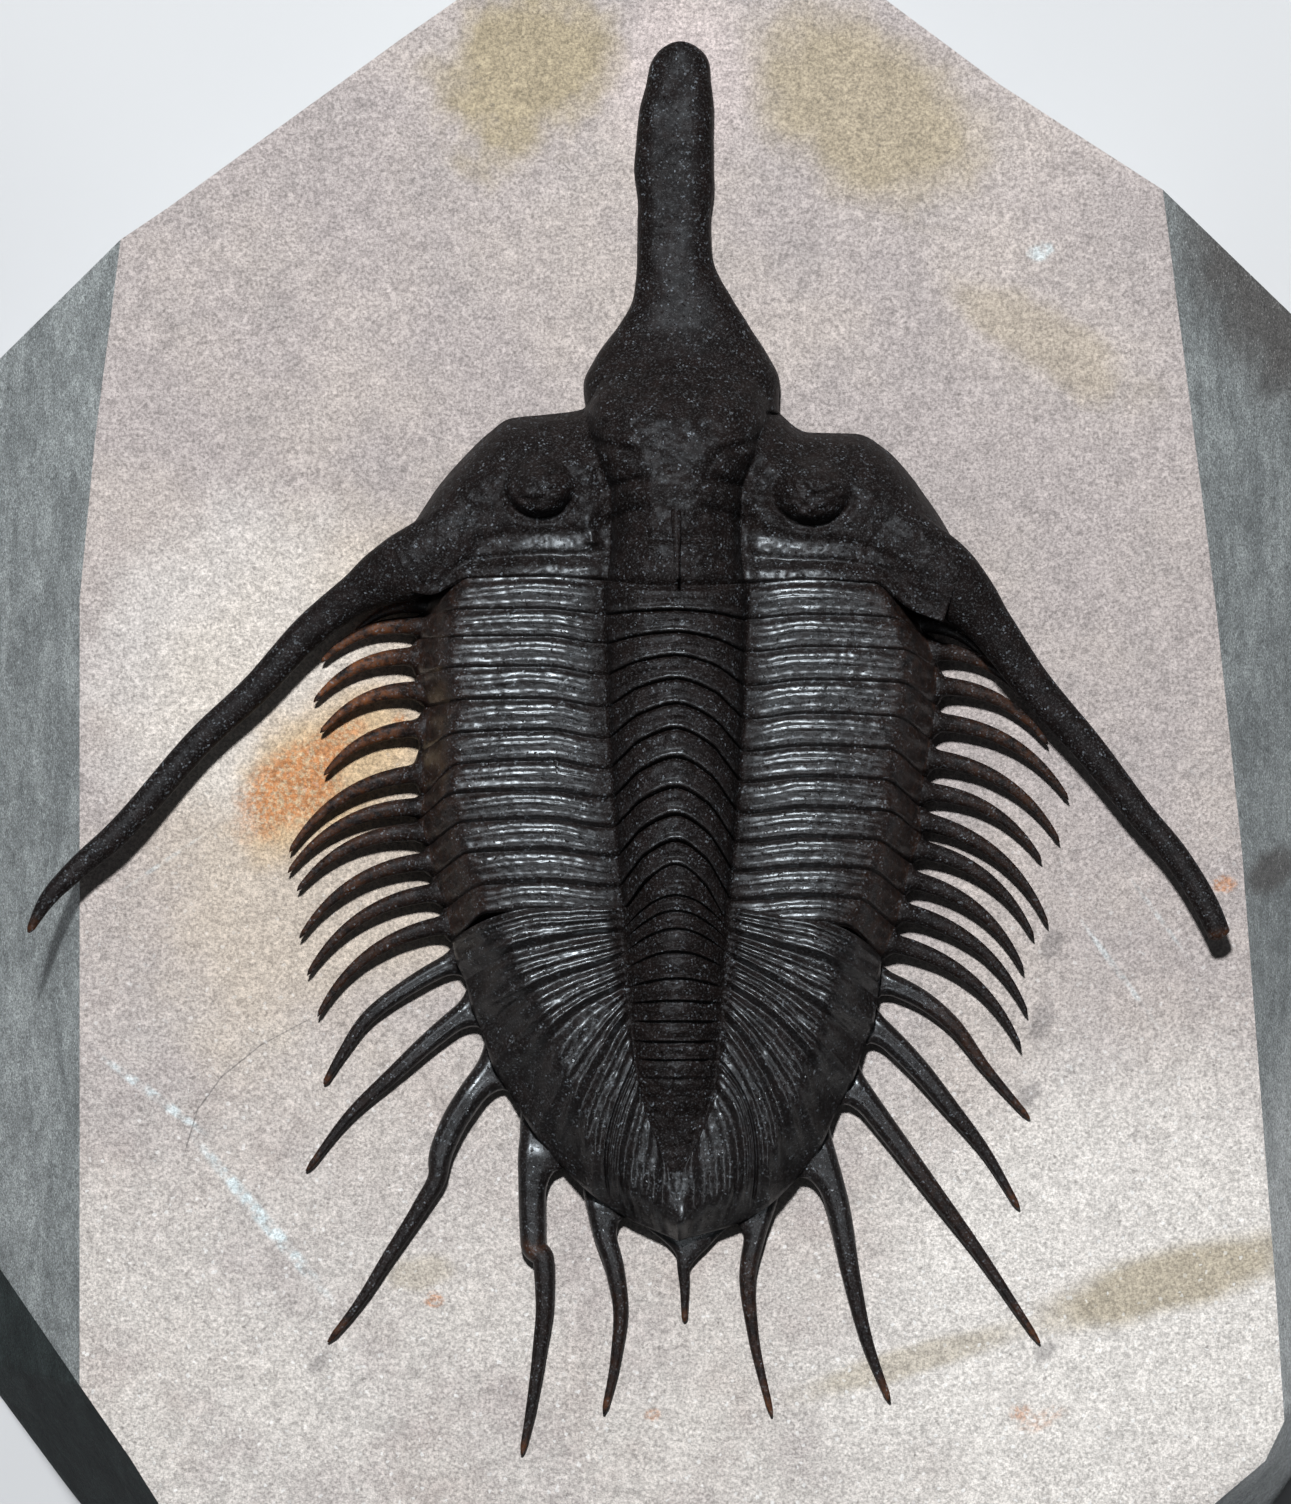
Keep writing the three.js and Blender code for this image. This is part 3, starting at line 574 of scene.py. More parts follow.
@dataclass(frozen=True)
class BrushedStone:
    """Pale fine-grained limestone, worked down with a fine abrasive jet, with its own stains and with
    shadows painted just beyond the spines' tips.
    """

    pale: Colour = (0.350, 0.314, 0.306, 1)
    warm: Colour = (0.410, 0.366, 0.342, 1)
    grey: Colour = (0.285, 0.262, 0.254, 1)
    south_pale: Colour = (0.56, 0.535, 0.505, 1)
    white: Colour = (0.62, 0.595, 0.565, 1)
    pit: Colour = (0.11, 0.10, 0.09, 1)
    cream: Colour = (0.47, 0.405, 0.335, 1)
    ochre: Colour = (0.315, 0.266, 0.180, 1)
    rust: Colour = (0.42, 0.185, 0.075, 1)
    amber: Colour = (0.47, 0.325, 0.165, 1)
    blush: Colour = (0.47, 0.41, 0.40, 1)
    calcite: Colour = (0.56, 0.63, 0.65, 1)
    # Colour of the shadows painted beyond the spines' tips.
    shadow_dark: Colour = (0.15, 0.14, 0.14, 1)
    crack: Colour = (0.14, 0.13, 0.125, 1)
    glint: Colour = (0.85, 0.86, 0.86, 1)
    roughness: float = 0.92
    gloss: float = 0.25
    cream_patches: tuple[Patch, ...] = (Patch(-24, -2, 27, 0.75, 1.2, 0.75, 0.5),)
    west_patches: tuple[Patch, ...] = (Patch(-33, 8, 17, 0.8, 0.9, 0.45, 0.4),)
    corner_patches: tuple[Patch, ...] = (Patch(36, -44, 30, 0.8, 0.6, 0.7, 0.3),)
    blush_patches: tuple[Patch, ...] = (Patch(2.3, 53, 9.5, 0.75, math.pi / 2, 0.75, 0.18),)
    amber_patches: tuple[Patch, ...] = (Patch(-25.0, -0.6, 11.0, 0.62, 0.7, 0.7, 0.35),)
    ochre_patches: tuple[Patch, ...] = (
        Patch(-9.5, 54.0, 10.5, 0.75, 0.9, 0.95, 0.5),
        Patch(17, 51, 12, 0.7, -0.7, 0.8),
        Patch(31, 32.5, 11, 0.3, -0.5, 0.45, 0.5),
        Patch(41, -40.5, 14, 0.22, 0.3, 0.75),
        Patch(20, -47, 12, 0.14, 0.3, 0.5),
        Patch(-18, -40, 3.5, 0.5, 0.2, 0.4),
    )
    rust_spots: tuple[Patch, ...] = (
        Patch(-28.0, -2.2, 6.4, 0.6, 0.7, 1.0),
        Patch(-24.6, 1.2, 4.0, 0.5, 0.9, 0.8),
        Patch(-19.6, 2.9, 1.1, 0.6, 1.3, 0.8),
        Patch(44.8, -9.7, 1.2, 0.8, 0.0, 0.7),
        Patch(28.9, -50.9, 1.1, 0.8, 0.0, 0.6),
        Patch(-16.8, -42.1, 1.0, 0.8, 0.0, 0.7),
        Patch(0.2, -51.1, 0.8, 0.8, 0.0, 0.6),
        Patch(30.5, -51.5, 2.6, 0.35, 0.4, 0.35),
    )
    veins: tuple[Patch, ...] = (
        Patch(-30.2, -35.8, 9.8, 0.075, -0.87, 0.95, 0.06),
        Patch(-38.8, -26.1, 6.5, 0.08, -0.64, 0.8, 0.08),
        Patch(36.5, -16.5, 6.5, 0.05, 2.2, 0.45, 0.06),
        Patch(39.5, -12, 5.0, 0.05, 2.2, 0.35, 0.06),
        Patch(-38, -8, 4.5, 0.05, 0.6, 0.35, 0.06),
        Patch(30.5, 39.6, 1.3, 0.7, 0.4, 0.7, 0.4),
    )
    # Painted shadows: dark marks on the stone just beyond the spines' tips, where their shadows fall.
    tip_shadows: tuple[Patch, ...] = (
        Patch(31.3, -14.3, 1.8, 0.6, 1.3, 0.5),
        Patch(30.5, -20.5, 2.2, 0.5, 1.3, 0.5),
        Patch(29.5, -26.2, 1.8, 0.6, 1.0, 0.55),
        Patch(30.8, -46.2, 1.4, 0.6, 0.8, 0.5),
        Patch(-25.8, -47.0, 1.6, 0.5, 0.8, 0.45),
    )
    cracks: tuple[Patch, ...] = (
        Patch(-35.75, -28.8, 3.0, 0.026, 1.28, 0.7, 0.02),
        Patch(-34.35, -26.0, 3.1, 0.026, 0.94, 0.75, 0.02),
        Patch(-31.85, -23.45, 3.6, 0.022, 0.68, 0.7, 0.02),
        Patch(-28.5, -21.25, 3.6, 0.022, 0.49, 0.6, 0.02),
    )

    def make(self) -> bpy.types.Material:
        """Builds the material."""
        g = Graph("brushed_limestone")
        colour = g.mix(g.window(g.noise(15, 4.0, 0.6), 0.35, 0.68), self.pale, self.warm)
        clouds = g.math("MULTIPLY", g.window(g.noise(4.5, 6.0, 0.7), 0.46, 0.74), 0.5)
        colour = g.mix(clouds, colour, self.grey)
        colour = g.stain(colour, self.cream_patches, self.cream)
        colour = g.stain(colour, self.west_patches, self.white)
        # Paler towards the south end of the slab, in cloudy patches.
        south = g.math("MULTIPLY", g.southward(-5.0, -55.0), g.window(g.noise(9, 5.0, 0.65), 0.25, 0.6))
        colour = g.mix(g.math("MULTIPLY", south, 0.72), colour, self.south_pale)
        colour = g.stain(colour, self.corner_patches, self.white)
        colour = g.stain(colour, self.ochre_patches, self.ochre)
        colour = g.stain(colour, self.blush_patches, self.blush)
        colour = g.stain(colour, self.amber_patches, self.amber)
        speckled = g.window(g.noise(0.5, 4.0, 0.8), 0.39, 0.57)
        colour = g.stain(colour, self.rust_spots, self.rust, speckled)
        beads = g.window(g.noise(1.5, 3.0, 0.65), 0.40, 0.60, 0.12, 1.0)
        colour = g.stain(colour, self.veins, self.calcite, beads)
        # Lays the painted shadows beyond the spines' tips.
        colour = g.stain(colour, self.tip_shadows, self.shadow_dark)
        colour = g.stain(colour, self.cracks, self.crack)
        colour = g.dapple(colour, g.noise(0.24, 3.0, 0.8), 0.28, 0.72, 0.58, 1.42)
        colour = g.dapple(colour, g.noise(0.9, 4.0, 0.72, warp=0.5), 0.30, 0.70, 0.86, 1.14)
        cell = g.split(g.cells(0.24))
        sparkle = g.math("MULTIPLY", g.window(cell["X"], 0.97, 1.0, 0.0, 0.5), g.southward(20.0, -50.0))
        colour = g.mix(sparkle, colour, self.glint)
        colour = g.mix(g.window(cell["Y"], 0.98, 1.0, 0.0, 0.4), colour, self.pit)
        g.dress(colour, self.roughness, self.gloss)
        brush = g.noise(0.45, 3.0, 0.65, at=g.stretch((1, 0.3, 1), 0.35))
        g.feed(
            g.shader.inputs["Normal"],
            g.relief((g.noise(2.2, 5.0, 0.65), 0.22), (brush, 0.10), (g.noise(0.20, 3.0, 0.8), 0.10)),
        )
        return g.material


@dataclass(frozen=True)
class SawnStone:
    """The slab's sawn sides: darker, grey-green and faintly streaked."""

    name: str = "sawn_limestone"
    body: Colour = (0.165, 0.182, 0.184, 1)
    light: Colour = (0.285, 0.31, 0.31, 1)
    crystal: Colour = (0.50, 0.52, 0.53, 1)
    crystal_share: float = 0.6
    gloss: float = 0.5
    dusk: Colour = (0.085, 0.080, 0.076, 1)
    dusk_patches: tuple[Patch, ...] = (
        Patch(50, 38, 16, 0.6, 2.0, 0.95, 0.4),
        Patch(48.9, -8.7, 3.4, 0.62, 0.5, 0.9, 0.22),
    )
    pale: Colour = (0.48, 0.50, 0.50, 1)
    pale_patches: tuple[Patch, ...] = (
        Patch(53, -42, 26, 0.4, 1.5, 0.9, 0.4),
        Patch(-50, -30, 16, 0.3, 1.5, 0.12, 0.4),
    )
    roughness: float = 0.7

    def make(self) -> bpy.types.Material:
        """Builds the material."""
        g = Graph(self.name)
        streak = g.noise(3.0, 6.0, 0.7, at=g.stretch((1, 0.45, 0.6), 0.5), warp=0.6)
        colour = g.mix(g.window(streak, 0.35, 0.68), self.body, self.light)
        colour = g.stain(colour, self.pale_patches, self.pale)
        colour = g.stain(colour, self.dusk_patches, self.dusk)
        grain = g.noise(0.20, 2.0, 0.85)
        colour = g.mix(g.window(grain, 0.60, 0.80, 0.0, self.crystal_share), colour, self.crystal)
        colour = g.dapple(colour, grain, 0.28, 0.72, 0.40, 1.60)
        colour = g.dapple(colour, g.noise(1.2, 4.0, 0.72, warp=0.5), 0.32, 0.68, 0.80, 1.20)
        g.dress(colour, self.roughness, self.gloss)
        saw = g.relief((g.noise(1.8, 5.0, 0.7), 0.2), (g.noise(0.25, 4.0, 0.75), 0.08))
        g.feed(g.shader.inputs["Normal"], saw)
        return g.material


@dataclass(frozen=True)
class Back:
    """The lie of the fossil's back: its joints, widths and heights, shared by its regions.

    Widths and heights are pairs of a place along Y and a value. The notches are the places between the
    spines' roots on each margin, one for each joint, from the head to the tail.
    """

    midline: float = 2.0
    axis_half_width: Pairs = (
        (-31.6, 2.1), (-28.8, 2.5), (-22.6, 3.1), (-14.8, 3.8), (-7, 4.5), (0.8, 5.1), (14, 5.6),
    )
    axis_height: Pairs = ((-32, 3.8), (-26, 6.2), (-18, 8.4), (-8, 10.2), (2, 11.2), (14, 11.0))
    field_height: Pairs = ((-37, 3.2), (-33, 4.1), (-28, 4.9), (-18, 6.2), (-8, 7.2), (2, 7.6), (14, 7.4))
    margin_height: float = 2.0
    furrow_drop: float = 0.4
    fulcrum_share: float = 0.13
    fulcrum_inset: float = 2.8
    fulcrum_lag: float = 0.1
    first_ring_joint: float = 13.3
    ring_lengths: tuple[float, ...] = (1.7, 1.7, 1.8, 1.8, 1.9, 1.9, 2.2, 2.3, 2.1, 2.0, 1.9)
    first_field_joint: float = 14.0
    field_lengths: tuple[float, ...] = (2.6, 2.6, 2.6, 2.5, 2.4, 2.3, 2.3, 2.2, 2.1, 2.0, 1.9)
    right_lag: float = 0.25
    right_lag_growth: float = 0.07
    surge_left: float = 1.0
    surge_right: float = 0.4
    slant: float = 0.35
    inner_station: float = 10.0
    notches_left: Pairs = (
        (-17.0, 12.8), (-17.6, 11.3), (-17.9, 9.4), (-18.1, 6.6), (-17.2, 4.1), (-17.8, 0.7),
        (-17.6, -2.8), (-17.9, -4.6), (-17.2, -6.7), (-16.8, -9.1), (-15.8, -11.5), (-15.4, -14.1),
    )
    notches_right: Pairs = (
        (20.3, 11.6), (21.4, 9.7), (22.3, 7.2), (22.2, 4.3), (21.8, 1.6), (21.3, -1.3),
        (20.9, -3.6), (21.1, -5.8), (20.2, -8.0), (19.7, -10.5), (19.0, -13.0), (18.0, -15.4),
    )

    @property
    def segment_count(self) -> int:
        """How many segments the thorax has."""
        return len(self.ring_lengths)

    def stations(self, joint: int, side: Side) -> Array:
        """Where a joint crosses the back, from the middle to the margin: seven points in plan."""
        sign = side.value
        notches = self.notches_left if side is Side.LEFT else self.notches_right
        apex = self.first_ring_joint - sum(self.ring_lengths[:joint])
        lag = self.right_lag + self.right_lag_growth * joint if side is Side.RIGHT else 0.0
        surge = self.surge_left if side is Side.LEFT else self.surge_right
        surge = surge * float(band(joint, (0, 3), (8, 11)))
        inner = self.first_field_joint - sum(self.field_lengths[:joint]) - lag + surge
        furrow = inner - 0.3 - self.slant * surge
        half = float(along(self.axis_half_width, furrow))
        notch_x, notch_y = notches[joint]
        sag = apex - furrow
        return np.array([
            (self.midline, apex),
            (self.midline + sign * half * 0.55, apex - sag * 0.3),
            (self.midline + sign * half * 0.9, apex - sag * 0.8),
            (self.midline + sign * half * 1.05, furrow),
            (self.midline + sign * self.inner_station, inner),
            (notch_x - sign * self.fulcrum_inset, inner + (notch_y - inner) * self.fulcrum_lag),
            (notch_x, notch_y),
        ])

    def joint_line(self, joint: int, u: Array) -> Array:
        """A joint as a smooth line in plan.

        Args:
            joint: The joint's number, 0 at the head.
            u: Places across the back: -6 at the left margin, 0 in the middle, 6 at the right margin.

        Returns:
            Points in plan.
        """
        left, right = self.stations(joint, Side.LEFT), self.stations(joint, Side.RIGHT)
        across = np.concatenate([left[:0:-1], right])
        x = eased(np.arange(-6, 7), across[:, 0], u)
        return np.stack([x, eased(across[:, 0], across[:, 1], x)], axis=-1)

    def height(self, u: Array, y: Array) -> Array:
        """Height of the back without its relief, at a place across it and along it."""
        axis, field = along(self.axis_height, y), along(self.field_height, y)
        place = np.abs(u)
        knots = np.arange(7)
        on_axis = eased(knots, (1, 0.84, 0.35, 0, 0, 0, 0), place)
        outward = eased(knots, (0, 0, 0, 0, 0, self.fulcrum_share, 1), place)
        body = field + (axis - field) * on_axis - self.furrow_drop * hump(place, 2.9, 0.6)
        return body + (self.margin_height - body) * outward

    def spread(self, joint: int, count: int) -> Array:
        """Places across the back that lie evenly in millimetres."""
        fine = np.linspace(-6, 6, 481)
        x = self.joint_line(joint, fine)[:, 0]
        return np.interp(np.linspace(x[0], x[-1], count), x, fine)


@dataclass(frozen=True)
class ThoraxSegment:
    """One segment: a ring on the axis, two pleurae and their spines.

    The profiles give the relief from the front joint, at 0, to the rear one, at 1: over the ring, the
    furrow beside it, the ridged part of a side plate and its flank.
    """

    back: Back
    index: int
    tip_left: tuple[float, float]
    tip_right: tuple[float, float]
    brown: float = 0.0
    right_brown: float = 0.22
    bow: float = 0.13
    spine_width: float = 1.5
    tip_width: float = 0.3
    spine_flatness: float = 0.8
    root_height: float = 1.1
    tip_height: float = 0.6
    root_length: float = 1.1
    columns: int = 200
    spine_rings: int = 46
    under_points: int = 6
    ring_profile: Pairs = (
        (-0.08, -0.72), (0.0, -0.66), (0.07, -0.52), (0.15, -0.26), (0.30, -0.16), (0.45, -0.10),
        (0.52, -0.14), (0.70, -0.12), (0.78, -0.02), (0.88, 0.08), (0.94, 0.03), (1.05, -0.45),
    )
    furrow_profile: Pairs = (
        (-0.08, -0.5), (0.0, -0.42), (0.16, -0.16), (0.5, -0.10), (0.84, -0.14), (1.0, -0.40), (1.05, -0.5),
    )
    plate_profile: Pairs = (
        (-0.08, -0.50), (0.0, -0.46), (0.08, -0.32), (0.14, -0.15), (0.18, -0.10), (0.26, -0.055),
        (0.29, -0.055), (0.35, -0.09), (0.43, -0.035), (0.46, -0.04), (0.54, -0.12), (0.66, -0.15),
        (0.71, -0.15), (0.76, -0.125), (0.90, -0.18), (1.0, -0.40), (1.05, -0.50),
    )
    flank_profile: Pairs = (
        (-0.08, -0.50), (0.0, -0.44), (0.14, -0.14), (0.34, 0.0), (0.60, -0.06), (0.80, -0.01),
        (0.90, 0.10), (0.97, -0.04), (1.05, -0.42),
    )

    STATIONS = np.concatenate([
        np.linspace(-0.08, 0.12, 6), np.linspace(0.155, 0.93, 24), np.linspace(0.955, 1.05, 5),
    ])

    @property
    def name(self) -> str:
        """The node that this segment stands for."""
        return f"thorax_segment_{self.index + 1:02d}"

    def relief(self, u: Array, v: Array, x: Array) -> Array:
        """The segment's own relief.

        Args:
            u: Place across the back.
            v: Place along the segment, 0 at its front joint.
            x: Place across in millimetres.

        Returns:
            The heights that are added to the back's own.
        """
        seed = 100 + 3 * self.index
        place = np.abs(u)
        oblique = 1 + 0.9 * ramp(place, 4.2, 5.6) + 0.25 * (1 - ramp(place, 3.0, 3.9))
        along_plate = np.where(v > 0, np.abs(v) ** oblique, v)
        wavy = along_plate + 0.035 * drift(x, 0 * x, 2.4, seed) * hump(v, 0.5, 0.4)
        on_ring = 1 - ramp(place, 2.35, 2.85)
        on_flank = ramp(place + 0.35 * drift(v * 5, 0 * v + np.sign(u), 1.0, seed + 1), 4.4, 5.8)
        in_furrow = (1 - on_ring) * (1 - ramp(place + 0.12 * drift(v * 6, 0 * v, 1.0, seed), 3.0, 3.5))
        on_plate = (1 - on_ring - in_furrow) * (1 - on_flank)
        gap = -0.16 * hump(x - self.back.midline, 0, 0.35) * hump(v, 0.75, 0.3)
        arcs = 0.07 * drift(x * 0.8, v * 6, 1.0, seed + 3) * hump(v, 0.5, 0.35)
        fine = 0.016 * drift(x * 0.4, wavy * 9, 1.0, seed + 2) * hump(v, 0.5, 0.3)
        rise = on_ring * (along(self.ring_profile, v) + gap + arcs)
        rise = rise + in_furrow * along(self.furrow_profile, v)
        rise = rise + on_plate * (along(self.plate_profile, wavy) + fine)
        return rise + (1 - on_ring - in_furrow) * on_flank * along(self.flank_profile, v)

    def plate(self) -> Array:
        """Rings of the segment's body, from the left margin to the right one."""
        u = self.back.spread(self.index, self.columns)
        front = self.back.joint_line(self.index, u)
        rear = self.back.joint_line(self.index + 1, u)
        v = self.STATIONS
        plan = front[:, None, :] + (rear - front)[:, None, :] * v[None, :, None]
        middle = (front[:, 1] + rear[:, 1]) / 2
        base = self.back.height(u, middle)[:, None]
        rise = self.relief(u[:, None] + 0 * v, v[None, :] + 0 * base, plan[..., 0])
        edge = ramp(np.abs(u), 5.35, 6.0)[:, None]
        rounded = -0.9 * np.abs(2 * v[None, :] - 1) ** 2.5
        z = base + rise * (1 - edge) + rounded * edge
        z = z + uneven(plan[..., 0], plan[..., 1], (0.035, 0.8, 40), (0.03, 0.35, 41))
        share = np.linspace(1, 0, self.under_points)[None, :, None]
        under = plan[:, :1] + (plan[:, -1:] - plan[:, :1]) * share
        return np.concatenate([raised(plan, z), raised(under, np.full(under.shape[:2], SUNK))], axis=1)

    def spine(self, side: Side, last: Array) -> tuple[Array, Array]:
        """Rings of one side's spine, growing out of the plate's last ring.

        Args:
            side: The side that the spine is on.
            last: The plate's ring at that margin.

        Returns:
            The rings, and each ring's place along the spine.
        """
        front = self.back.stations(self.index, side)[-1]
        rear = self.back.stations(self.index + 1, side)[-1]
        root = (front + rear) / 2
        tip = np.array(self.tip_left if side is Side.LEFT else self.tip_right)
        chord = tip - root
        across = np.array([-chord[1], chord[0]])
        across = across if across[1] > 0 else -across
        s = np.linspace(0, 1, self.spine_rings + 1)[1:] ** 1.5
        middle = root + chord * s[:, None] + across * (4 * s * (1 - s) * self.bow)[:, None]
        heading = headings(np.concatenate([[root], middle]))[1:]
        normal = np.stack([-heading[:, 1], heading[:, 0]], axis=1)
        normal = np.where(normal[:, 1:2] > 0, normal, -normal)
        distance = s * np.linalg.norm(chord)
        width = self.tip_width + (self.spine_width - self.tip_width) * (1 - s) ** 0.8
        pointed = blunt(s, 1.002, 0.03, 0.05)
        spread = np.maximum(np.linalg.norm(front - rear) - width, 0)
        half = (width + spread * fillet(distance / self.root_length, 2.0)) / 2 * pointed
        height = width * self.spine_flatness * pointed
        top_angles = np.pi * (self.STATIONS - self.STATIONS[0]) / np.ptp(self.STATIONS)
        under_angles = np.pi * (1 + np.linspace(0.08, 0.92, self.under_points))
        angles = np.concatenate([top_angles, under_angles])
        level = self.root_height + (self.tip_height - self.root_height) * s
        aside = np.cos(angles)[None, :] * half[:, None]
        plan = middle[:, None, :] + normal[:, None, :] * aside[..., None]
        lift = np.sin(angles)[None, :] * height[:, None] / 2
        carried = last[None, :, :2] + (middle - root)[:, None, :]
        grown = ramp(distance, 0, 0.6)[:, None]
        sunk = ramp(distance, 0, 1.8)[:, None]
        plan = carried * (1 - grown[..., None]) + plan * grown[..., None]
        z = last[None, :, 2] * (1 - sunk) + (level[:, None] + lift) * sunk
        return raised(plan, z), s

    def build(self, materials: Materials) -> Piece:
        """Builds the segment's mesh."""
        plate = self.plate()
        left, along_left = self.spine(Side.LEFT, plate[0])
        right, along_right = self.spine(Side.RIGHT, plate[-1])
        rings = np.concatenate([left[::-1], plate, right])
        u = np.abs(self.back.spread(self.index, self.columns))
        brown_left, brown_right = (
            self.brown * (0.1 + 0.9 * ramp(place, 0, 0.5)) for place in (along_left[::-1], along_right))
        tint = np.concatenate([brown_left, 0.12 * ramp(u, 4.2, 6.0), brown_right * self.right_brown])
        flat = ramp(u, 3.0, 3.7) * (1 - 0.4 * ramp(u, 4.2, 5.9))
        spine_sheen = np.full(self.spine_rings, 0.15)
        sheen = np.concatenate([spine_sheen, flat, spine_sheen])[:, None]
        on_ring = np.pad(1 - ramp(u, 1.6, 2.6), self.spine_rings)[:, None]
        crest = np.zeros(rings.shape[1])
        crest[: len(self.STATIONS)] = hump(self.STATIONS, 0.84, 0.12)
        skin = Skin()
        skin.tube(rings, tint[:, None], sheen + 0.9 * on_ring * crest[None, :])
        return skin.make(self.name, materials)


@dataclass(frozen=True)
class Spine:
    """A spine of the tail shield: its line, its widths and how it leaves the shield."""

    line: Pairs
    width: float
    tip_width: float = 0.45
    flatness: float = 0.85
    keel: float = 0.12
    brown: float = 0.02
    stain: tuple[float, float] | None = None
    roundness: float = 2.0
    root_share: float = 1.5
    points: int = 130
    sides: int = 26

    def course(self) -> tuple[Array, Array, Array]:
        """The spine's middle line with heights, its widths, and each point's place along it."""
        line, place = smooth_line(self.line, self.points)
        width = self.width + (self.tip_width - self.width) * place**1.4
        width = width * blunt(place, 1.004, 0.03, 0.02)
        height = width * self.flatness * 0.5 - 0.1 - 1.6 * (1 - ramp(place, 0, 0.24))
        return raised(line, height), width, place

    def swelling(self, x: Array, y: Array) -> Array:
        """How far the shield swells, from 0 to 1, in line with this spine's root."""
        line, _ = smooth_line(self.line, self.points)
        (root_x, root_y), heading = line[0, :2], headings(line)[0]
        ahead = (x - root_x) * heading[0] + (y - root_y) * heading[1]
        beside = (y - root_y) * heading[0] - (x - root_x) * heading[1]
        return hump(beside, 0, 0.4 * self.width) * hump(ahead, 1.3, 1.6)

    def rooted(self, notches: Sequence[Sequence[float]]) -> tuple[Array, Array]:
        """The spine's rings, spread at the root until they reach the notches on both sides.

        Args:
            notches: The two notches beside the spine, in plan.

        Returns:
            The rings, and each ring's place along the spine.
        """
        line, width, place = self.course()
        heading = headings(line)
        distance = run(line)
        halves = even_halves(width)
        for notch in notches:
            away = np.asarray(notch) - line[:, :2]
            nearest = int(np.argmin(np.linalg.norm(away, axis=1)))
            lateral = heading[nearest, 0] * away[nearest, 1] - heading[nearest, 1] * away[nearest, 0]
            side = 0 if lateral > 0 else 1
            spread = max(abs(float(lateral)) - width[nearest] / 2, 0.0)
            length = spread * self.root_share + 0.4
            halves[:, side] += spread * fillet((distance - distance[nearest]) / length, self.roundness)
        return oval_rings(line, halves, width * self.flatness, self.sides, self.keel), place


